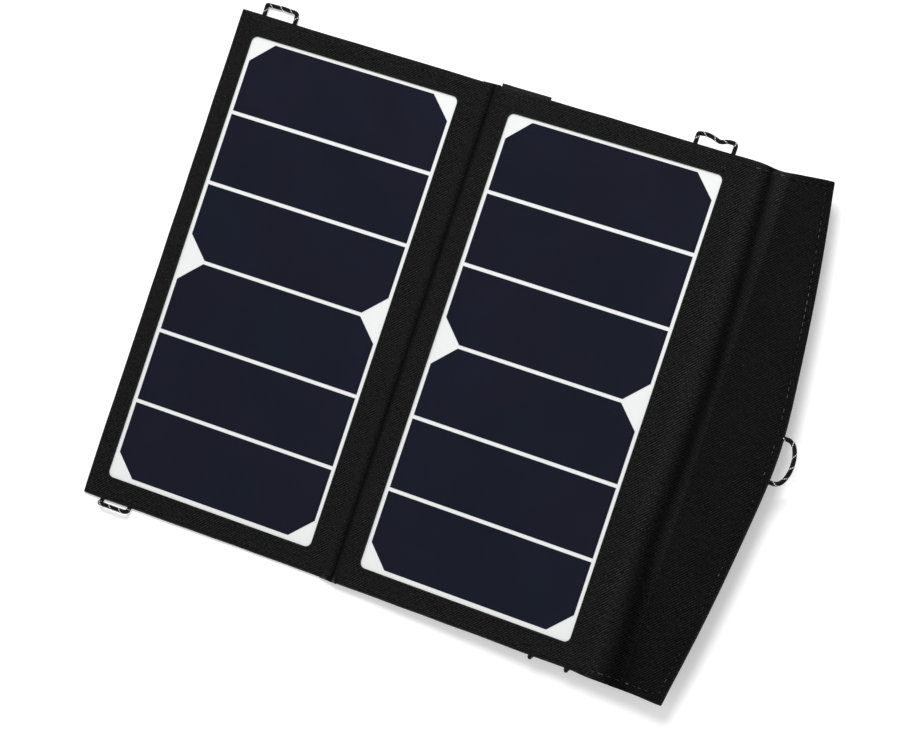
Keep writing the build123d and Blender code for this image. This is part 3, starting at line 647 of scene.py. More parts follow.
FABRIC_BLACK = (0.0076, 0.0071, 0.0075)
WEAVE = 0.44            # thread pitch of the fabric
RECIPES = {  # each slot's kind of material, its colour (None: the record's) and settings
    "black_fabric": (fabric, FABRIC_BLACK, {"pitch": WEAVE}),
    "fold_fabric": (fabric, FABRIC_BLACK, {"pitch": WEAVE}),
    # flap_fabric is the leaves' black cloth at 0.55: painted shade, as the flap lies turned from the light
    "flap_fabric": (fabric, [c * 0.55 for c in FABRIC_BLACK], {"pitch": WEAVE, "mottle": 0.26}),
    "pocket_fabric": (fabric, FABRIC_BLACK, {"pitch": WEAVE}),
    "seam_thread": (thread, (0.007, 0.007, 0.007), {"shine": 0.2}),
    # bright_thread is black thread lightened by painted highlights, lit only in patches
    "bright_thread": (thread, (0.05, 0.048, 0.048), {"patchy": 0.88}),
    "cord_black": (thread, (0.005, 0.005, 0.0055), {"shine": 0.16}),
    "cord_tracer": (thread, (0.72, 0.71, 0.69), {}),
    "solar_cell": (silicon, (0.0058, 0.0068, 0.0165), {}),
    "backsheet_white": (white_laminate, (0.76, 0.76, 0.752), {}),
    "copper_tab": (white_laminate, (0.78, 0.78, 0.775), {}),
    "stiffener": (board, None, {}),
    "ribbon_cable": (ribbed, None, {"pitch": 1.5, "relief": 0.1}),
    "magnet": (metal, None, {"rough_level": 0.22, "brushed": False}),
    "keeper_steel": (metal, None, {"rough_level": 0.35}),
    "zip_tape": (tape_weave, (0.0085, 0.0085, 0.009), {}),
    "zip_coil": (plastic, (0.016, 0.016, 0.017), {"rough_level": 0.32, "grain": 0.4, "relief": 0.01,
                                                       "specular": 0.5}),
    "zip_metal": (metal, (0.045, 0.045, 0.048), {"rough_level": 0.34, "wear": (0.4, 0.39, 0.37)}),
    "box_plastic": (plastic, None, {"rough_level": 0.55, "grain": 0.35, "relief": 0.03}),
    "screw_steel": (metal, None, {"rough_level": 0.28}),
    "adhesive_foam": (foam, None, {}),
    "circuit_green": (circuit, None, {}),
    "socket_steel": (metal, None, {"rough_level": 0.22}),
    "socket_insulator": (plastic, None, {"rough_level": 0.45, "grain": 0.5, "relief": 0.008}),
    "contact_gold": (metal, None, {"rough_level": 0.2}),
    "component_dark": (plastic, None, {"grain": 0.3, "relief": 0.015}),
    "capacitor_can": (metal, None, {"rough_level": 0.25}),
    "grommet_rubber": (plastic, None, {"rough_level": 0.75, "grain": 0.5, "specular": 0.2}),
    "lamp_red": (lamp, None, {"clear": 0.3}),
    "light_pipe": (lamp, None, {"clear": 0.9}),
}
MATERIALS = {name: kind(name, color or COLORS[name], **settings)
             for name, (kind, color, settings) in RECIPES.items()}
MATERIALS["clear_film"] = clear_film("clear_film")


# ---------------------------------------------------------------- shared cloth shapes
def wobble(x, y):
    """How far the top and bottom hems stray outwards at x, in mm. Continuous across the pieces."""
    x = np.asarray(x, float)
    sign = np.where(np.asarray(y, float) > 0, 1.0, -1.0)
    line = np.stack([x, sign * 50, x * 0], -1)
    return 0.28 * rough(line, 24.0, 2) - 0.06


def hem_drift(x, y):
    """How the hems of the spine and flap leave the straight: drawn in at the valley, out at the corners."""
    top = 1.1 * smooth((x - 186) / 18) - 1.3 * hump(x, 175, 9)
    bottom = 0.7 * smooth((x - 150) / 12) + 0.8 * smooth((x - 186) / 18)
    return np.where(np.asarray(y) > 0, top, bottom)


def stray_hem(x_run, y):
    """Moves points near the top and bottom hems by the wobble and drift there."""
    near = smooth(1 - (HALF - np.abs(y)) / 9.0)
    return y + np.sign(y) * near * (wobble(x_run, y) + hem_drift(x_run, y))


def stray_side(x, y):
    """Moves points near the left leaf's outer edge in and out a little."""
    near = smooth(1 - (EDGE[LEFT] - x) / 6.0)
    return x + near * 0.25 * rough(flat(y * 0, y), 26.0, 31)


def cloth_uv(x, y, z, top, mirrored=False, from_side=None):
    """Cloth coordinates in metres, with the cloth's drop at a hem counted as length."""
    drop = np.abs(top - z) * (HALF - np.abs(y) < 4)
    u = -x if mirrored else x
    if from_side is not None:
        side_drop = np.abs(top - z) * (from_side < 4) * (HALF - np.abs(y) > 4)
        u = u + np.sign(u) * side_drop
    return np.stack([u, y + np.sign(y) * drop], -1).reshape(-1, 2) * MM


def flat_uv(x, y):
    """Cloth coordinates in metres of a flat sheet."""
    return flat(x, y).reshape(-1, 2) * MM


def hem_ripple(x, y, depth=0.1):
    """Small puckers that run in from the top and bottom hems."""
    inside = HALF - np.abs(y)
    wave = rough(np.stack([x, np.sign(y) * 9, x * 0], -1), 3.6, 5)
    return depth * wave * np.exp(-np.clip(inside, 0, None) / 5.0) * smooth(inside / 2.0)


SWELL_SEED = {LEFT: 11, RIGHT: 17}


def cloth_swell(x, y, seed):
    """Slow unevenness of cloth over a board, never below the board."""
    p = flat(x, y)
    return 0.1 * np.clip(rough(p, 30.0, seed) + 0.35, 0, None) + 0.035 * rough(p, 7.0, seed + 1)


# ---------------------------------------------------------------- window fabric
def outline_distance(p, side):
    """Distance in from a leaf's outer outline. The fold side and the right leaf's far edge don't count."""
    from_end = HALF - np.abs(p[..., 1])
    if side == RIGHT:
        return from_end
    from_edge = EDGE[side] - p[..., 0]
    corner = (from_end < CORNER) & (from_edge < CORNER)
    arc = CORNER - np.hypot(CORNER - from_end, CORNER - from_edge)
    return np.where(corner, arc, np.minimum(from_end, from_edge))


def ray_to_outline(start, direction, side):
    """Where a ray from inside a leaf meets its outline, fold side and far edge included."""
    low, high = 0.0, 60.0
    for _ in range(44):
        middle = (low + high) / 2
        p = start + direction * middle
        inside = outline_distance(p, side) > 0 and FOLD_HALF < p[0] < EDGE[side]
        low, high = (middle, high) if inside else (low, middle)
    return start + direction * high


def corner_centres(xs, ys, r):
    """Centres of a rounded rectangle's corners, anticlockwise, each with the angle its arc starts at."""
    (x0, x1), (y0, y1) = xs, ys
    return [((x1 - r, y1 - r), 0), ((x0 + r, y1 - r), 90), ((x0 + r, y0 + r), 180), ((x1 - r, y0 + r), 270)]


def window_rays(side, step=1.9):
    """Rays outward all round the window: start points and end points on the leaf's outline."""
    r = WINDOW_CORNER
    corners = corner_centres(WINDOW_X, WINDOW_Y, r)
    starts, ends = [], []
    for number, (centre, first) in enumerate(corners):
        centre = np.array(centre)
        far = np.array([EDGE[side] if first in (0, 270) else FOLD_HALF, HALF if first < 180 else -HALF])
        diagonal = math.degrees(math.atan2(*(far - centre)[::-1])) % 360
        angles = np.concatenate([np.linspace(first, diagonal, 6), np.linspace(diagonal, first + 90, 6)[1:]])
        for a in np.radians(angles):
            d = np.array([math.cos(a), math.sin(a)])
            starts.append(centre + d * r)
            ends.append(ray_to_outline(centre, d, side))
        following = np.array(corners[(number + 1) % 4][0])
        a = math.radians(first + 90)
        d = np.array([math.cos(a), math.sin(a)])
        run = following - centre
        for t in np.linspace(0, 1, int(np.linalg.norm(run) / step))[1:-1]:
            starts.append(centre + run * t + d * r)
            ends.append(ray_to_outline(centre + run * t, d, side))
    return np.array(starts), np.array(ends)


HEM_IN = (0.0, 0.03, 0.12, 0.28, 0.5, 1.1, 1.8, 2.2, 2.5, 2.8, 3.3)
HEM_STITCH = 2.5


SEAM_TOP = 3.12        # front of the cloth where a window panel runs into the spine


def gathers(x, y):
    """Folds gathered into the hems at the top and bottom of the seam beside the spine."""
    top = smooth((y - 128) / 14) * np.sin((x - 149) * 1.35) * hump(x, 160, 9)
    bottom = smooth((-y - 122) / 16) * np.sin((x - 150) * 1.15) * hump(x, 160, 8)
    return (0.3 * top + 0.42 * bottom) * smooth((HALF - np.abs(y)) / 2.0)


def window_fabric(side):
    """Front fabric with its window: a turned hem round the window, rounded down at the outer edges."""
    starts, ends = window_rays(side)
    run = ends - starts
    length = np.linalg.norm(run, axis=1)
    between = [HEM_IN[-1] + (length - HEM_IN[-1] - RIM_FINE[-3]) * k / 7 for k in range(1, 7)]
    columns = [d / length for d in (*HEM_IN, *between)]
    columns += [(length - d) / length for d in (*RIM_FINE[-3::-1], 0.0)]
    t = np.stack(columns, 1)
    p = starts[:, None] + run[:, None] * t[..., None]
    x, y = p[..., 0], p[..., 1]
    from_window = t * length[:, None]
    from_edge = np.clip(outline_distance(p, side), 0, None)
    z = LEAF_FRONT + cloth_swell(x, y, SWELL_SEED[side])
    z -= round_over(from_window, 0.5, LEAF_FRONT - FILM_TOP - 0.08)
    z -= 0.13 * hump(from_window, HEM_STITCH, 0.5)
    z = z - round_over(from_edge, 3.0, z - SEAM_Z)
    z += hem_ripple(x, y)
    # painted shade along the hem's stitch line and painted highlight on the hem's rolled edge at the window
    shade = np.ones(x.shape) - 0.2 * hump(from_window, HEM_STITCH, 0.45) + 0.35 * hump(from_window, 0.35, 0.4)
    if side == RIGHT:
        z = z + gathers(x, y)
        z = z + (SEAM_TOP - z) * smooth((x - 151) / (SPINE_START - 151)) * smooth(from_edge / 3)
    y = stray_hem(x * side, y)
    if side == LEFT:
        x = stray_side(x, y)
    uv = cloth_uv(x, y, z, LEAF_FRONT, side == LEFT, EDGE[side] - x if side == LEFT else None)
    name = NAMES[side]
    sheet(f"{name}_window_fabric", (x, y, z), side, "black_fabric", uv, shade, flip=side == RIGHT, wrap=True,
          node=f"{name}_front_fabric", body=f"{name}_leaf")


# ---------------------------------------------------------------- sewing
def stitch_row(parts, path, height, length=2.3, gap=0.9, radius=0.2):
    """Thread stitches along a flat path, each dipping into the cloth at its ends. Its height is even or
    a function of x and y."""
    path = np.asarray(path, float)
    along = run_length(path)
    count = int(along[-1] / (length + gap))
    pitch = along[-1] / count
    for k in range(count):
        at = (k + np.linspace(0, length / (length + gap), 6)) * pitch
        x = np.interp(at, along, path[:, 0])
        y = np.interp(at, along, path[:, 1])
        lift = np.sin(np.linspace(0, math.pi, 6)) * 0.16 - 0.06
        z = (height(x, y) if callable(height) else height) + lift
        line = np.stack([x, y, z], 1)
        parts.add(*tube(line, radius * np.array([0.6, 0.95, 1, 1, 0.95, 0.6]), 6))


def round_rectangle(xs, ys, r):
    """A closed flat path with rounded corners."""
    loop = []
    for (cx, cy), first in corner_centres(xs, ys, r):
        for a in np.radians(np.linspace(first, first + 90, 9)):
            loop.append((cx + r * math.cos(a), cy + r * math.sin(a)))
    return loop + loop[:1]


EDGE_STITCH = 3.7       # stitches in from a leaf's outer edges


def leaf_stitches(side):
    """Topstitching round each window and along the leaf's outer edges, front and rear."""
    spans = [(low - HEM_STITCH, high + HEM_STITCH) for low, high in (WINDOW_X, WINDOW_Y)]
    window = round_rectangle(*spans, WINDOW_CORNER + HEM_STITCH - 1.5)
    y = HALF - EDGE_STITCH
    far = EDGE[side] - (EDGE_STITCH if side == LEFT else 1)
    edge = [(FOLD_HALF + 1, y), (far, y), (far, -y), (FOLD_HALF + 1, -y)]
    rows = [edge] if side == LEFT else [edge[:2], edge[2:]]
    seed = SWELL_SEED[side]
    parts = Parts()
    stitch_row(parts, window, lambda a, b: LEAF_FRONT - 0.12 + cloth_swell(a, b, seed))
    for row in rows:
        stitch_row(parts, row, lambda a, b: LEAF_FRONT - 0.06 + cloth_swell(a, b, seed) + hem_ripple(a, b))
        stitch_row(parts, row, 0.06)
    name = NAMES[side]
    obj = parts.build(f"{name}_stitches", side, MATERIALS["seam_thread"], "black_fabric", side == LEFT)
    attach(obj, f"{name}_leaf")


# ---------------------------------------------------------------- flat fabric panels
def panel_grid(xs_of_y, ys):
    """x and y of a grid whose rows run across at each y."""
    rows = [np.asarray(xs_of_y(y)) for y in ys]
    x = np.array(rows)
    return x, np.repeat(np.asarray(ys)[:, None], x.shape[1], 1)


END_ROWS = spaced(-HALF, HALF, 2.6, RIM_FINE, RIM_FINE)


def leaf_rear(side):
    """Rear fabric of a leaf, turned up to the seam at the outer edges."""
    edge = EDGE[side]
    fine = RIM_FINE if side == LEFT else ()
    base = spaced(FOLD_HALF, edge, 3.2, (), fine)

    def across(y):
        if side == RIGHT:
            return base
        over = max(0.0, abs(y) - (HALF - CORNER))
        limit = edge - CORNER + math.sqrt(max(0.0, CORNER ** 2 - over ** 2))
        return FOLD_HALF + (base - FOLD_HALF) * (limit - FOLD_HALF) / (edge - FOLD_HALF)

    x, y = panel_grid(across, END_ROWS)
    p = flat(x, y)
    inside = np.clip(outline_distance(p, side), 0, None)
    sag = 0.05 * (1 + rough(p, 22.0, 41 + side))
    z = sag * smooth(inside / 6) + round_over(inside, 1.6, SEAM_Z)
    # painted shade along the stitch line in from the edge
    shade = 1 - 0.2 * hump(inside, 2.6, 0.5)
    y = stray_hem(x * side, y)
    if side == LEFT:
        x = stray_side(x, y)
    uv = cloth_uv(x, y, z, 0, side == LEFT, EDGE[side] - x if side == LEFT else None)
    name = NAMES[side]
    sheet(f"{name}_back_fabric", (x, y, z), side, "black_fabric", uv, shade, flip=side == LEFT,
          node=f"{name}_rear_fabric", body=f"{name}_leaf")


# ---------------------------------------------------------------- centre fold
def bend(obj):
    """Bakes a piece's placement into its mesh."""
    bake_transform(obj)


def right_point(x, z):
    """A point of the right leaf's section, in the left leaf's unmirrored frame."""
    row = to_row([(x, 0, z)], RIGHT)[0]
    m = np.array(FRAMES[LEFT])
    return (row[0] - m[0, 3]) / MM, row[2] / MM


def fold_strip(name, knots, seam, node, upward, cover="fold_fabric", y_span=None, thick=CLOTH, seed=3):
    """A strip along the fold. Knots give its section from the left leaf to the right."""
    section = spline(knots, 26)
    rows = END_ROWS if y_span is None else np.linspace(*y_span, 9)
    x = np.repeat(section[None, :, 0], len(rows), 0)
    z = np.repeat(section[None, :, 1], len(rows), 0)
    y = np.repeat(np.asarray(rows)[:, None], x.shape[1], 1)
    share = (x - x.min()) / (x.max() - x.min())
    run = -FOLD_HALF + 2 * FOLD_HALF * share
    shade = np.ones(x.shape)
    if y_span is None:
        inside = HALF - np.abs(y)
        seam_z = seam[0] + (seam[1] - seam[0]) * share
        reach = 3.0 if upward else 1.6
        keep = np.sin(share * math.pi) ** 2
        z = z + keep * 0.16 * rough(flat(run, y), 14.0, seed)
        z = z - round_over(inside, reach, z - seam_z)
        y = stray_hem(run, y)
        if upward:
            # painted shade: a dark band along the groove of the front fold
            shade = 1 - 0.6 * hump(x, 3.2, 1.9)
    uv = cloth_uv(np.repeat(run_length(section)[None], len(rows), 0), y, z, section[:, 1])
    obj = sheet(name, (x, y, z), LEFT, cover, uv, shade, thick=thick, flip=not upward,
                mirrored=False, node=node)
    bend(obj)


def centre_fold():
    x_end, z_end = right_point(FOLD_HALF, LEAF_FRONT)
    front = [(-FOLD_HALF, LEAF_FRONT), (-4.0, 3.37), (-2.6, 3.85), (-1.0, 4.75), (0.4, 5.0), (1.7, 4.55),
             (2.9, 4.35), (3.9, 5.2), (4.8, 6.55), (5.5, 7.3), (x_end, z_end)]
    seam = (SEAM_Z, right_point(FOLD_HALF, SEAM_Z)[1])
    fold_strip("fold_front_cover", front, seam, "fold_front_fabric", True)
    x_rear, z_rear = right_point(FOLD_HALF, 0)
    rear = [(-FOLD_HALF, 0.02), (-2.5, 0.3), (0.4, 1.3), (3.2, 2.9), (x_rear, z_rear)]
    fold_strip("fold_rear_cover", rear, seam, "fold_rear_fabric", False, seed=9)
    low, high = leaf_box("right_ribbon_cable", RIGHT)[0][1], leaf_box("fold_ribbon_cable", RIGHT)[1][1]
    x_ribbon, z_ribbon = right_point(FOLD_HALF, 0.95)
    ribbon = [(-FOLD_HALF, 0.95), (-2.5, 1.2), (0.4, 2.15), (3.2, 3.75), (x_ribbon, z_ribbon)]
    fold_strip("fold_ribbon", ribbon, None, "fold_ribbon_cable", True, "ribbon_cable", (low, high), 0.3)


# ---------------------------------------------------------------- spine and closing flap
def rim_curve():
    """The flap's arched rim, x at each y, from the CAD outline."""
    p = to_leaf(node_points("flap_rear_fabric"), RIGHT)
    rim = p[(p[:, 2] < 0.05) & (p[:, 0] > 200)]
    rim = rim[np.argsort(rim[:, 1])]
    return rim[:, 1], rim[:, 0]


RIM_Y, RIM_X = rim_curve()


def rim_x(y):
    over = np.clip(np.abs(y) - (HALF - CORNER), 0, CORNER)
    return np.interp(y, RIM_Y, RIM_X) - CORNER + np.sqrt(CORNER ** 2 - over ** 2)


def flap_lean(y):
    """Slope of the flap's rim, in x per y."""
    return (np.interp(y + 1, RIM_Y, RIM_X) - np.interp(y - 1, RIM_Y, RIM_X)) / 2


def flap_depth(x, y):
    """Distance in from the flap's rim and ends."""
    return np.minimum((rim_x(y) - x) / np.sqrt(1 + flap_lean(y) ** 2), HALF - np.abs(y))


VALLEY_Y = (-146, -115, -68, -42, -16, 28, 56, 93, 128, 146)
VALLEY_X = (175.5, 175.0, 171.6, 172.4, 173.4, 174.6, 173.4, 172.0, 169.9, 169.0)
VALLEY_WIDTH = (9.0, 7.6, 5.6, 4.8, 4.4, 4.0, 3.8, 3.5, 3.0, 2.4)


def valley(x, y):
    """1 along the valley of the spine, which wanders and widens downwards, and 0 away from it."""
    centre = np.interp(y, VALLEY_Y, VALLEY_X)
    width = np.interp(y, VALLEY_Y, VALLEY_WIDTH)
    return np.exp(-(np.abs(x - centre) / width) ** 2)


def spine_height(x, y):
    """Front of the spine and of the flap's first part: a swell, the valley and then a ridge."""
    top_gain = smooth((y - 80) / 55)
    ridge = (0.45 + 1.2 * top_gain) * hump(x, np.interp(y, VALLEY_Y, VALLEY_X) + 7.5, 4.6)
    swell = 0.55 * hump(x, 163.5, 4.6)
    level = SEAM_TOP + (FLAP_FRONT + 0.15 - SEAM_TOP) * smooth((x - SPINE_START) / 26)
    ripple = 0.2 * rough(flat(x, y * 0.35), 9.0, 57)
    across = smooth((x - SPINE_START) / 3)
    z = level - 1.7 * valley(x, y) + (ridge + swell + ripple) * across
    tuck = np.exp(-(HALF - np.abs(y)) / 6.0) * smooth((HALF - np.abs(y)) / 1.5)
    return z + gathers(x, y) + 0.22 * tuck * np.sin(x * 1.7) * across * smooth((188 - x) / 5)


# Painted light of the spine and flap: painted shade in the valley, painted highlights on the ridge beside it
# and on the swell near x 163.
def spine_shade(x, y):
    ridge = hump(x, np.interp(y, VALLEY_Y, VALLEY_X) + 7.5, 5.0) * smooth((y - 80) / 60)
    return 1 - 0.66 * valley(x, y) + 0.25 * ridge + 0.16 * hump(x, 163, 5.5)


def seam_height(x):
    """Where front and rear meet at the top and bottom of the spine and flap."""
    return SEAM_Z + (FLAP_SEAM_Z - SEAM_Z) * smooth((x - SPINE_START) / (FLAP_START - SPINE_START))


def spine_front():
    xs = spaced(SPINE_START, FLAP_START, 0.85)
    x, y = panel_grid(lambda _: xs, END_ROWS)
    z = spine_height(x, y)
    top = z
    z = z - round_over(HALF - np.abs(y), 3.0, z - seam_height(x))
    shade = spine_shade(x, y)
    y = stray_hem(x, y)
    obj = sheet("spine_front_cover", (x, y, z), RIGHT, "fold_fabric", cloth_uv(x, y, z, top), shade,
                node="spine_front_fabric")
    obj.data.flip_normals()
    blend_spine(obj)


def spine_rear():
    xs = spaced(SPINE_START, FLAP_START, 1.2)
    x, y = panel_grid(lambda _: xs, END_ROWS)
    inside = HALF - np.abs(y)
    z = 0.25 * (1 + rough(flat(x, y), 16.0, 61)) * smooth(inside / 6)
    z *= np.sin((x - SPINE_START) / (FLAP_START - SPINE_START) * math.pi)
    z = z + round_over(inside, 1.6, seam_height(x) - z)
    y = stray_hem(x, y)
    blend_spine(sheet("spine_rear_cover", (x, y, z), RIGHT, "fold_fabric", flat_uv(x, y),
                      node="spine_rear_fabric"))


def blend_spine(obj):
    bend(obj)


FLAP_STITCH = 3.8       # stitches in from the flap's rim
BRIGHT_STITCH = (2.2, 1.7, 0.26)  # their length, gap and radius


def flap_grid():
    def across(y):
        edge = float(rim_x(np.array([y]))[0])
        inner = np.linspace(FLAP_START, edge - RIM_FINE[-1], 26)
        return np.concatenate([inner, [edge - f for f in RIM_FINE[-2::-1]], [edge]])

    return panel_grid(across, END_ROWS)


def flap_front_height(x, y):
    """Front face of the flap, before its rim is turned down."""
    inside = np.clip(flap_depth(x, y), 0, None)
    far = smooth((x - 190) / 12)
    wave = 0.22 * rough(flat(x, y), 34.0, 71) * far
    z = spine_height(x, y) + np.clip(wave, -0.05, None) + 0.1 * far
    on_flap = smooth((x - 184) / 4)
    dip = 0.22 * hump(inside, FLAP_STITCH, 0.6) + 0.12 * smooth((FLAP_STITCH - inside) / 1.0)
    pucker = rough(flat(x * 0.6, y), 3.4, 73)
    return z + on_flap * (0.14 * pucker * hump(inside, FLAP_STITCH, 2.2) - dip)


def flap():
    x, y = flap_grid()
    inside = np.clip(flap_depth(x, y), 0, None)
    z = flap_front_height(x, y)
    ends = HALF - np.abs(y)
    at_spine = 1 - smooth((x - FLAP_START) / 8)
    reach = 1.0 + 2.0 * at_spine
    z = z - round_over(np.where(at_spine > 0.98, ends, inside), reach, z - seam_height(x))
    # painted light: the spine's painted shade and highlights, painted shade along the stitch line, and a
    # painted highlight on the rim's edge over the lower flap
    shade = spine_shade(x, y) - 0.2 * hump(inside, FLAP_STITCH, 0.6)
    shade += 1.4 * hump(inside, 0.25, 0.35) * smooth((x - 190) / 8) * smooth((60 - y) / 60)
    sag = 0.12 * (1 + rough(flat(x, y), 20.0, 77)) * smooth(inside / 5)
    sag *= smooth((x - FLAP_START) / 5)
    z_rear = sag + round_over(inside, 1.0, seam_height(x) - sag)
    moved = stray_hem(x, y)
    uv = flat_uv(x, moved)
    for face, height, shading in (("front", z, shade), ("rear", z_rear, None)):
        sheet(f"flap_{face}_cover", (x, moved, height), RIGHT, "flap_fabric", uv, shading,
              flip=face == "front", node=f"flap_{face}_fabric", body="cover_flap")


def flap_stitches():
    """Stitches round the flap, front and rear, and along the spine's two hems, in black thread lightened by
    painted highlights.
    """
    edge_y = HALF - FLAP_STITCH
    ys = np.linspace(-edge_y, edge_y, 160)
    arch = np.stack([np.interp(ys, RIM_Y, RIM_X) - FLAP_STITCH * np.sqrt(1 + flap_lean(ys) ** 2), ys], 1)
    path = np.vstack([[(FLAP_START + 1, -edge_y)], arch, [(FLAP_START + 1, edge_y)]])
    parts = Parts()
    stitch_row(parts, path, lambda a, b: flap_front_height(a, b) + 0.12, *BRIGHT_STITCH)
    stitch_row(parts, path, -0.02, 2.2, 1.7, 0.24)
    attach(parts.build("flap_stitches", RIGHT, MATERIALS["bright_thread"], "black_fabric"), "cover_flap")
    parts = Parts()
    for y in (-edge_y, edge_y):
        row = [(SPINE_START + 3, y), (FLAP_START - 0.6, y)]
        stitch_row(parts, row, lambda a, b: spine_height(a, b) + 0.1, *BRIGHT_STITCH)
    blend_spine(parts.build("spine_stitches", RIGHT, MATERIALS["bright_thread"], "black_fabric"))


# ---------------------------------------------------------------- laminate cover
def cover_sheet(side):
    """Clear film over the cells, a thin sheet whose edges lie under the window's hem."""
    gap = 0.05
    x = np.linspace(WINDOW_X[0] - LAMINATE_LAP, WINDOW_X[1] + LAMINATE_LAP, 30)
    y = np.linspace(WINDOW_Y[0] - LAMINATE_LAP, WINDOW_Y[1] + LAMINATE_LAP, 60)
    gx, gy = np.meshgrid(x, y)
    name = NAMES[side]
    sheet(f"{name}_cover_film", (gx, gy, np.full_like(gx, FILM_TOP - gap)), side, "clear_film", thick=0.2,
          flip=side == RIGHT, node=f"{name}_clear_cover", body=f"{name}_leaf")


# ---------------------------------------------------------------- braided cord loops
def rounded_path(corners, radii, step):
    """A polyline with its corners rounded, resampled at an even step."""
    corners = np.asarray(corners, float)
    dense = [corners[0]]
    for k in range(1, len(corners) - 1):
        before, at, after = corners[k - 1], corners[k], corners[k + 1]
        a, b = (before - at), (after - at)
        r = min(radii[k - 1], np.linalg.norm(a) * 0.49, np.linalg.norm(b) * 0.49)
        p, q = at + a / np.linalg.norm(a) * r, at + b / np.linalg.norm(b) * r
        for t in np.linspace(0, 1, 14):
            dense.append((1 - t) ** 2 * p + 2 * t * (1 - t) * at + t * t * q)
    dense.append(corners[-1])
    dense = np.array(dense)
    along = run_length(dense)
    count = int(along[-1] / step)
    at = np.linspace(0, along[-1], count)
    return np.stack([np.interp(at, along, dense[:, i]) for i in range(3)], 1)


STRANDS = 8
STRAND_R = 0.3
BRAID_LAY = 6.4         # length of one turn of a strand
TRACERS = (0,)          # strands of the light tracer


def braid(name, path, side):
    """A braided cord: two sets of strands that wind opposite ways and pass over and under."""
    parts = Parts()
    tangent = np.gradient(path, axis=0)
    tangent /= np.linalg.norm(tangent, axis=1)[:, None]
    normal = carry_frame(tangent)
    across = np.cross(tangent, normal)
    parts.add(*tube(path, CORD_R * 0.75, 10, normal))
    turn = 2 * math.pi * run_length(path) / BRAID_LAY
    ripple = 0.13 * np.cos(STRANDS * turn)
    base = CORD_R - STRAND_R - 0.03
    for way in (1, -1):
        for k in range(STRANDS):
            angle = 2 * math.pi * k / STRANDS + way * turn
            radius = base + way * ripple
            outward = normal * np.cos(angle)[:, None] + across * np.sin(angle)[:, None]
            line = path + outward * radius[:, None]
            white = way == 1 and k in TRACERS
            parts.add(*tube(line, STRAND_R, 5), slot=1 if white else 0)
    return parts.build(name, side, [MATERIALS["cord_black"], MATERIALS["cord_tracer"]], "cord")


# Radii of each loop's bends: out of the hem, first corner, second corner and into the hem.
LOOP_CORNERS = {"left_top_loop": (1.3, 3.4, 1.0, 1.3), "left_bottom_loop": (1.5, 4.0, 4.0, 1.5),
                "right_top_loop": (1.3, 1.2, 2.2, 1.3), "right_bottom_loop": (1.2, 1.6, 1.6, 1.2)}
BAR_WAVES = {"right_top_loop": ((128.5, 0.5), (137.0, -1.3)), "left_top_loop": ((133, 0.3),)}
NEAR_LEG_IN = {"right_bottom_loop": 2.2}
TUCKED = (np.array([0, -0.1, -0.5]), np.array([0, 2.4, -4.6]))  # the lower right loop lies under its leaf


def edge_loop(name, side, root_inside=3.4):
    """A loop at a leaf's top or bottom edge. Its ends run into the hem, so it bends there."""
    low, high = leaf_box(name, side)
    hinge = joint(name + "_swing")
    pivot = to_leaf([hinge["pos_m"]], side)[0]
    top = pivot[1] > 0
    half = (high[0] - low[0]) / 2 - CORD_R
    middle = (high[0] + low[0]) / 2
    out = (high[1] if top else low[1]) - pivot[1]
    rise_high, rise_low = high[2] - pivot[2] - CORD_R, low[2] - pivot[2] + CORD_R
    rise = rise_high if rise_high > -rise_low else rise_low
    run = abs(out) - CORD_R
    sign = 1 if top else -1
    tip = np.array([0, sign * run, rise])
    inside = np.array([0, -sign * root_inside, 0])
    elbow = np.zeros(3)
    if name == "right_bottom_loop":
        elbow, tip = TUCKED
    near_leg = np.array([middle - half + NEAR_LEG_IN.get(name, 0), *pivot[1:]]) + [inside, elbow, tip]
    far_leg = np.array([middle + half, *pivot[1:]]) + [tip, elbow, inside]
    path = rounded_path(np.vstack([near_leg, far_leg]), LOOP_CORNERS[name], 0.2)
    for at, depth in BAR_WAVES.get(name, ()):
        outside = smooth((sign * (path[:, 1] - pivot[1]) - 1) / 2)
        path[:, 1] += sign * depth * hump(path[:, 0], at, 3.2) * outside
    if side == LEFT:
        path = path * (-1, 1, 1)
    obj = braid(name + "_cord", path, side)
    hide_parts(name)
    bend(obj)


def flap_cord():
    """The loop at the tip of the flap, a half ellipse."""
    name = "flap_loop"
    low, high = leaf_box(name, RIGHT)
    pivot = to_leaf([joint(name + "_swing")["pos_m"]], RIGHT)[0]
    half = (high[1] - low[1]) / 2 - CORD_R
    middle = (high[1] + low[1]) / 2
    out = high[0] - pivot[0] - CORD_R
    angles = np.linspace(-math.pi / 2, math.pi / 2, 60)
    bow = np.stack([pivot[0] + out * np.cos(angles) ** 0.85, middle + half * np.sin(angles),
                    np.full(60, pivot[2])], 1)
    root_x = pivot[0] - 3.6
    first, last = (root_x, middle - half, pivot[2]), (root_x, middle + half, pivot[2])
    path = rounded_path(np.vstack([[first], bow, [last]]), [0.6] * len(bow), 0.2)
    obj = braid("flap_loop_cord", path, RIGHT)
    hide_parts(name)
    bend(obj)


# ---------------------------------------------------------------- zip
COIL_PITCH = 1.2
SEAM_STITCH = (2.3, 0.8, 0.18)  # length, gap and radius of the rear seams' stitches
COIL_ENDS = (leaf_box("zip_coil_leaf_side", RIGHT)[1][0], leaf_box("zip_coil_pocket_side", RIGHT)[0][0])
ZIP_MIDDLE = sum(COIL_ENDS) / 2


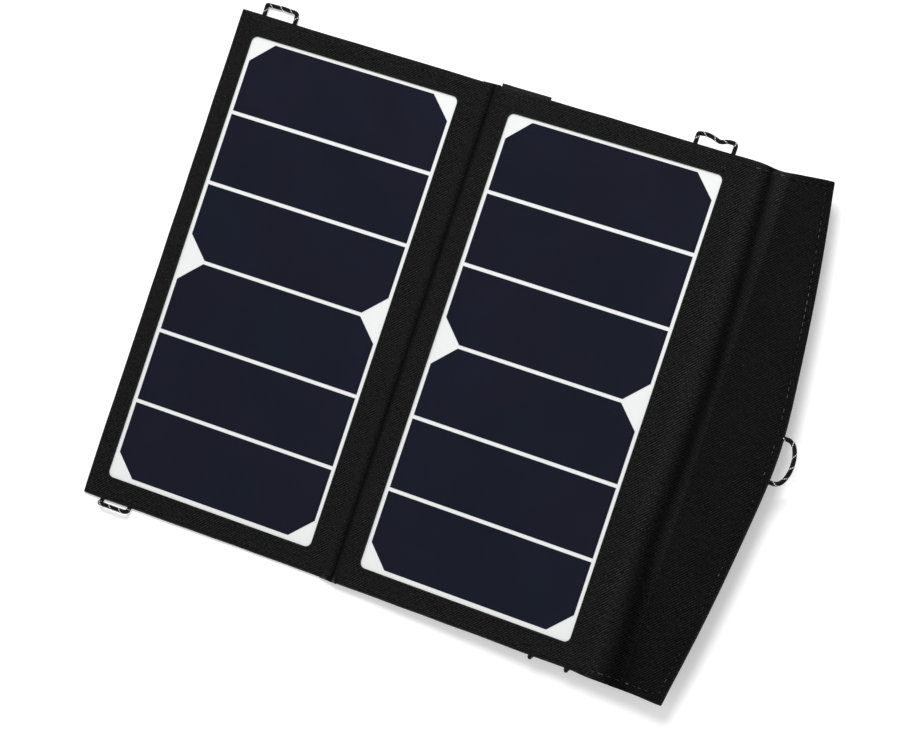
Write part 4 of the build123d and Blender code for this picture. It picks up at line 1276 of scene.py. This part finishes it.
def zip_coils():
    """One helix for each side of the zip, on a straight cord."""
    for label, way in (("leaf", -1), ("pocket", 1)):
        node = f"zip_coil_{label}_side"
        low, high = leaf_box(node, RIGHT)
        inner = low[0] if way > 0 else high[0]
        near, far = inner - way * 0.22, inner + way * (high[0] - low[0])
        centre_x, swing = (near + far) / 2, abs(far - near) / 2 - 0.3
        middle_z, lift = (low[2] + high[2]) / 2, (high[2] - low[2]) / 2 - 0.3
        turns = int((high[1] - low[1] - 1) / COIL_PITCH)
        t = np.linspace(0, turns, turns * 12 + 1)
        phase = 2 * math.pi * t + (0 if way > 0 else math.pi)
        line = np.stack([centre_x + swing * np.cos(phase), low[1] + 0.5 + t * COIL_PITCH,
                         middle_z + lift * np.sin(phase)], 1)
        parts = Parts()
        parts.add(*tube(line, 0.27, 6))
        rib = np.stack([[centre_x + way * 0.3] * 2, [low[1], high[1]], [high[2] - 0.3] * 2], 1)
        parts.add(*tube(rib, 0.3, 8))
        obj = parts.build(f"zip_teeth_{label}", RIGHT, MATERIALS["zip_coil"], "zip_coil")
        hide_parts(node)
        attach(obj, "right_leaf")


def zip_tapes():
    """Two woven tapes, one sewn to the leaf's rear and one carrying the pocket."""
    leaf_low, leaf_high = leaf_box("zip_tape_leaf_side", RIGHT)
    other_low, other_high = leaf_box("zip_tape_pocket_side", RIGHT)
    for label, low, high, sewn in (("leaf", leaf_low, leaf_high, True),
                                   ("pocket", other_low, other_high, False)):
        span = (low[0], ZIP_MIDDLE - 0.03) if sewn else (ZIP_MIDDLE + 0.03, high[0])
        xs = spaced(*span, 0.8)
        ys = spaced(low[1], high[1], 2.4, (0.2, 0.5, 1.0), (0.2, 0.5, 1.0))
        x, y = panel_grid(lambda _: xs, ys)
        z = np.full(x.shape, low[2] + 0.02)
        if sewn:
            z = -0.42 + (low[2] + 0.44) * smooth((x - low[0] - 3.2) / 3.5)
        z = z + 0.05 * rough(flat(x * 0.4, y), 9.0, 81)
        seam = low[0] + 2.0 if sewn else high[0] - 1.6
        # painted shade along the seam
        shade = 1 - 0.3 * hump(x, seam, 0.5)
        sheet(f"zip_tape_{label}", (x, y, z), RIGHT, "zip_tape", flat_uv(x, y), shade, thick=0.34,
              node=f"zip_tape_{label}_side", body="right_leaf")
    parts = Parts()
    for at in (leaf_low[0] + 2.0, leaf_low[0] + 3.4):
        stitch_row(parts, [(at, leaf_low[1] + 1), (at, leaf_high[1] - 1.2)], -0.5, *SEAM_STITCH)
    return parts


# ---------------------------------------------------------------- rear pocket
SIM_SCALE = 10.0        # the cloth settles at this many times its size


def pocket_start(xs, ys, low, high, tip_x, tip_y, depth):
    """A ruled skin from the seam down to the box, as the cloth's starting shape."""
    x, y = np.meshgrid(xs, ys)
    left = (x - low[0]) / (tip_x[0] - low[0])
    right = (high[0] - x) / (high[0] - tip_x[1])
    ends = (high[1] - np.abs(y)) / (high[1] - tip_y)
    share = np.clip(np.minimum(np.minimum(left, right), ends), 0, 1)
    return x, y, share * depth


def rear_pocket():
    """Pocket skin: cloth sewn round its edges that hangs over the output box and on the table."""
    low, high = leaf_box("pocket_skin", RIGHT)
    box_low, box_high = leaf_box("output_box_base", RIGHT)
    deep = leaf_box("output_box_cover", RIGHT)[0][2] - 0.75
    xs = spaced(low[0], high[0], 2.6, (0.6, 1.4, 2.6), (0.6, 1.4, 2.6))
    ys = spaced(low[1], high[1], 2.9, (0.6, 1.4, 2.6), (0.6, 1.4, 2.6))
    tip_x, tip_y = (box_low[0] - 3, box_high[0] + 1.5), box_high[1] + 5
    x, y, drop = pocket_start(xs, ys, low, high, tip_x, tip_y, deep + 0.6)
    z = -0.75 + drop
    over_tape = 1 - smooth((x - leaf_box("zip_tape_pocket_side", RIGHT)[1][0] - 0.4) / 4)
    z = z - over_tape * 0.75
    edge = np.minimum(np.minimum(x - low[0], high[0] - x), high[1] - np.abs(y))
    points = to_row(np.stack([x, y, z], -1).reshape(-1, 3), RIGHT)
    faces = grid_faces(*x.shape)
    uv = flat_uv(x, y)
    pinned = edge.ravel() < 1.5
    points = drape(points, faces, pinned, box_low, box_high)
    points[:, 2] = np.maximum(points[:, 2], 0.35 * MM)
    # painted shade along the seam round the pocket's edge
    shade = 1 - 0.25 * hump(edge.ravel(), 2.2, 0.5)
    obj = make("pocket_fabric_skin", points, faces, MATERIALS["pocket_fabric"], uv, shade, 0.35)
    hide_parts("pocket_skin")
    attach(obj, "right_leaf")
    return low, high


CLOTH_SETTINGS = {"quality": 6, "mass": 0.35, "tension_stiffness": 25, "compression_stiffness": 20,
                  "shear_stiffness": 12, "bending_stiffness": 4, "shrink_min": -0.025}
SIM_FRAMES = 45


def square(name, span):
    """A flat square mesh at the table's height, out to this many metres each way."""
    mesh = bpy.data.meshes.new(name)
    corners = [(-span, -span, 0), (span, -span, 0), (span, span, 0), (-span, span, 0)]
    mesh.from_pydata(corners, [], [[0, 1, 2, 3]])
    return mesh


def drape(points, faces, pinned, box_low, box_high):
    """Lets the pocket's cloth settle under gravity over the output box, at ten times its size."""
    scene = bpy.context.scene
    mesh = bpy.data.meshes.new("drape")
    mesh.from_pydata((points * SIM_SCALE).tolist(), [], faces)
    cloth = bpy.data.objects.new("drape", mesh)
    scene.collection.objects.link(cloth)
    group = cloth.vertex_groups.new(name="pin")
    group.add([int(i) for i in np.flatnonzero(pinned)], 1.0, "REPLACE")
    settings = cloth.modifiers.new("cloth", "CLOTH")
    settings.settings.vertex_group_mass = "pin"
    for key, value in CLOTH_SETTINGS.items():
        setattr(settings.settings, key, value)
    settings.collision_settings.distance_min = 0.006
    settings.collision_settings.collision_quality = 3
    settings.collision_settings.use_self_collision = False
    x0, x1 = box_low[0], box_high[0]
    y0, y1 = box_low[1], box_high[1]
    z0, z1 = leaf_box("output_box_cover", RIGHT)[0][2], box_high[2]
    corners = [(x, y, z) for x in (x0, x1) for y in (y0, y1) for z in (z0, z1)]
    block = to_row(corners, RIGHT) * SIM_SCALE
    block_faces = [[0, 1, 3, 2], [4, 6, 7, 5], [0, 4, 5, 1], [2, 3, 7, 6], [0, 2, 6, 4], [1, 5, 7, 3]]
    solid = bpy.data.meshes.new("block")
    solid.from_pydata(block.tolist(), [], block_faces)
    helpers = [cloth]
    for data in (solid, square("table", 5.0)):
        blocker = bpy.data.objects.new(data.name, data)
        scene.collection.objects.link(blocker)
        blocker.modifiers.new("collision", "COLLISION")
        blocker.collision.thickness_outer = 0.006
        helpers.append(blocker)
    scene.frame_start, scene.frame_end = 1, SIM_FRAMES
    settings.point_cache.frame_start, settings.point_cache.frame_end = 1, SIM_FRAMES
    for number in range(1, SIM_FRAMES + 1):
        scene.frame_set(number)
    settled = cloth.evaluated_get(bpy.context.evaluated_depsgraph_get())
    result = np.array([v.co for v in settled.data.vertices], float) / SIM_SCALE
    for helper in helpers:
        bpy.data.objects.remove(helper)
    scene.frame_set(1)
    return result


def sewn_rows(low, high, parts):
    """Adds the thread rows that hold the pocket's skin to the rows that hold the zip tapes."""
    y = high[1] - 1.7
    x_zip, x_far = low[0] + 1.6, high[0] - 1.6
    stitch_row(parts, [(x_zip, -y), (x_zip, y)], -1.55, *SEAM_STITCH)
    stitch_row(parts, [(low[0] + 5, y), (x_far, y), (x_far, -y), (low[0] + 5, -y)], -0.83, *SEAM_STITCH)
    obj = parts.build("rear_seam_stitches", RIGHT, MATERIALS["seam_thread"], "zip_tape")
    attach(obj, "right_leaf")


# ---------------------------------------------------------------- CAD pieces that stay
NODE_MATERIALS = {entry["node"]: entry["material_slot"] for entry in frame["record"]["subparts"]}
BEVELS = {"zip_slider_body": 0.18, "zip_pull_tab": 0.2, "zip_end_stops": 0.15, "output_box_base": 0.3,
          "output_box_cover": 0.2, "output_capacitors": 0.3, "output_inductor": 0.25, "regulator_chips": 0.12,
          "usb_port_shells": 0.12, "output_box_screws": 0.06, "flap_magnets": 0.2, "left_keeper_plates": 0.1}


def dress_cad_nodes():
    """Gives every CAD node its material, and softens the edges of the moulded and cast ones."""
    for name, obj in frame["nodes"].items():
        material = MATERIALS[{"cord": "cord_black"}.get(NODE_MATERIALS[name], NODE_MATERIALS[name])]
        obj.data.materials.clear()
        obj.data.materials.append(material)
        if name in BEVELS:
            weld = obj.modifiers.new("weld", "WELD")
            weld.merge_threshold = 1e-6
            edge = obj.modifiers.new("edge", "BEVEL")
            edge.width = BEVELS[name] * MM
            edge.segments = 2
            edge.limit_method = "ANGLE"
            edge.angle_limit = math.radians(35)
            edge.harden_normals = False


# ---------------------------------------------------------------- stage, light and camera
def floor_material():
    """Pale matt floor, clear from below and to the lamp under it, so the underside can be seen."""
    g = Graph("floor")
    matt = g.node("ShaderNodeBsdfDiffuse", {"Color": (0.9, 0.9, 0.9, 1)})
    glow = g.node("ShaderNodeEmission", {"Color": (1, 1, 1, 1), "Strength": 0.26})
    diffuse = g.node("ShaderNodeAddShader", {0: matt.outputs[0], 1: glow.outputs[0]})
    clear = g.node("ShaderNodeBsdfTransparent")
    back = g.node("ShaderNodeNewGeometry").outputs["Backfacing"]
    shadow = g.node("ShaderNodeLightPath").outputs["Is Shadow Ray"]
    open_way = g.math("MAXIMUM", back, shadow)
    mixed = g.node("ShaderNodeMixShader", {0: open_way, 1: diffuse.outputs[0], 2: clear.outputs[0]})
    return g.finish(mixed.outputs[0])


LOW_PIECES = ("back_fabric", "flap_rear_cover", "_cord", "pull", "slider", "skin")  # what can touch the table


def lowest_point(tree):
    """Geometry nodes that give the lowest height of the charger's low pieces, at most 0."""
    lowest = None
    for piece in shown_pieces():
        if not any(word in piece.name for word in LOW_PIECES):
            continue
        info = tree.nodes.new("GeometryNodeObjectInfo")
        info.transform_space = "RELATIVE"
        info.inputs[0].default_value = piece
        bound = tree.nodes.new("GeometryNodeBoundBox")
        tree.links.new(info.outputs["Geometry"], bound.inputs[0])
        split = tree.nodes.new("ShaderNodeSeparateXYZ")
        tree.links.new(bound.outputs["Min"], split.inputs[0])
        least = tree.nodes.new("ShaderNodeMath")
        least.operation = "MINIMUM"
        tree.links.new(split.outputs[2], least.inputs[0])
        if lowest is None:
            least.inputs[1].default_value = 0.0
        else:
            tree.links.new(lowest, least.inputs[1])
        lowest = least.outputs[0]
    return lowest


def floor():
    """A large plane at the table. It sinks to the lowest point of the charger when a pose goes lower."""
    mesh = square("floor", 6.0)
    mesh.materials.append(floor_material())
    obj = bpy.data.objects.new("floor", mesh)
    bpy.context.scene.collection.objects.link(obj)
    obj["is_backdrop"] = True
    tree = bpy.data.node_groups.new("floor_height", "GeometryNodeTree")
    tree.interface.new_socket("Geometry", in_out="INPUT", socket_type="NodeSocketGeometry")
    tree.interface.new_socket("Geometry", in_out="OUTPUT", socket_type="NodeSocketGeometry")
    entry, leave = tree.nodes.new("NodeGroupInput"), tree.nodes.new("NodeGroupOutput")
    offset = tree.nodes.new("ShaderNodeCombineXYZ")
    tree.links.new(lowest_point(tree), offset.inputs[2])
    move = tree.nodes.new("GeometryNodeTransform")
    tree.links.new(entry.outputs[0], move.inputs["Geometry"])
    tree.links.new(offset.outputs[0], move.inputs["Translation"])
    tree.links.new(move.outputs[0], leave.inputs[0])
    obj.modifiers.new("height", "NODES").node_group = tree


SKY, SKY_IN_REFLECTIONS = 0.62, 0.16


def world():
    """Even white surroundings, dimmer in reflections so that the glossy film stays dark."""
    made = bpy.data.worlds.new("studio")
    bpy.context.scene.world = made
    made.use_nodes = True
    tree = made.node_tree
    tree.nodes.clear()
    path = tree.nodes.new("ShaderNodeLightPath")
    level = tree.nodes.new("ShaderNodeMapRange")
    level.inputs["To Min"].default_value = SKY
    level.inputs["To Max"].default_value = SKY_IN_REFLECTIONS
    tree.links.new(path.outputs["Is Glossy Ray"], level.inputs["Value"])
    back = tree.nodes.new("ShaderNodeBackground")
    back.inputs["Color"].default_value = (1.0, 1.0, 1.0, 1)
    tree.links.new(level.outputs[0], back.inputs["Strength"])
    out = tree.nodes.new("ShaderNodeOutputWorld")
    tree.links.new(back.outputs[0], out.inputs[0])


def area_light(name, location, target, size, power):
    """A round soft lamp that faces its target."""
    data = bpy.data.lights.new(name, "AREA")
    data.shape = "DISK"
    data.size = size
    data.energy = power
    obj = bpy.data.objects.new(name, data)
    obj.location = location
    obj.rotation_euler = (Vector(target) - Vector(location)).to_track_quat("-Z", "Y").to_euler()
    bpy.context.scene.collection.objects.link(obj)


CAMERA_LENS = 118.914   # mm, on a sensor 36 mm wide
CAMERA_OFFSET = Vector((0.48994, -0.00217, 1.58820))  # metres from the middle of the CAD box
CAMERA_TURN = (5.30779, 16.45696, 19.15521)  # degrees about x, y and z


def camera():
    """The photograph's viewing angle, set from the middle of the CAD box."""
    centre = (cad_low + cad_high) / 2
    data = bpy.data.cameras.new("camera")
    data.lens = CAMERA_LENS
    data.sensor_width = 36.0
    data.clip_start, data.clip_end = 0.05, 50.0
    obj = bpy.data.objects.new("camera", data)
    obj.location = centre + CAMERA_OFFSET
    obj.rotation_euler = [math.radians(a) for a in CAMERA_TURN]
    bpy.context.scene.collection.objects.link(obj)
    bpy.context.scene.camera = obj


# ---------------------------------------------------------------- the whole scene
dress_cad_nodes()
for leaf_side in (LEFT, RIGHT):
    window_fabric(leaf_side)
    leaf_stitches(leaf_side)
    leaf_rear(leaf_side)
    cover_sheet(leaf_side)
centre_fold()
spine_front()
spine_rear()
flap()
flap_stitches()
for loop_name, loop_side in (("left_top_loop", LEFT), ("left_bottom_loop", LEFT),
                             ("right_top_loop", RIGHT), ("right_bottom_loop", RIGHT)):
    edge_loop(loop_name, loop_side)
flap_cord()
zip_coils()
tape_rows = zip_tapes()
sewn_rows(*rear_pocket(), tape_rows)

floor()
world()
lamp_target = (0.12, 0, 0)
area_light("key", (-0.08, 1.02, 1.75), lamp_target, 1.0, 34)
area_light("under", (-0.9, -1.0, -0.75), lamp_target, 0.6, 45)
camera()
bpy.context.scene.view_settings.view_transform = "Standard"
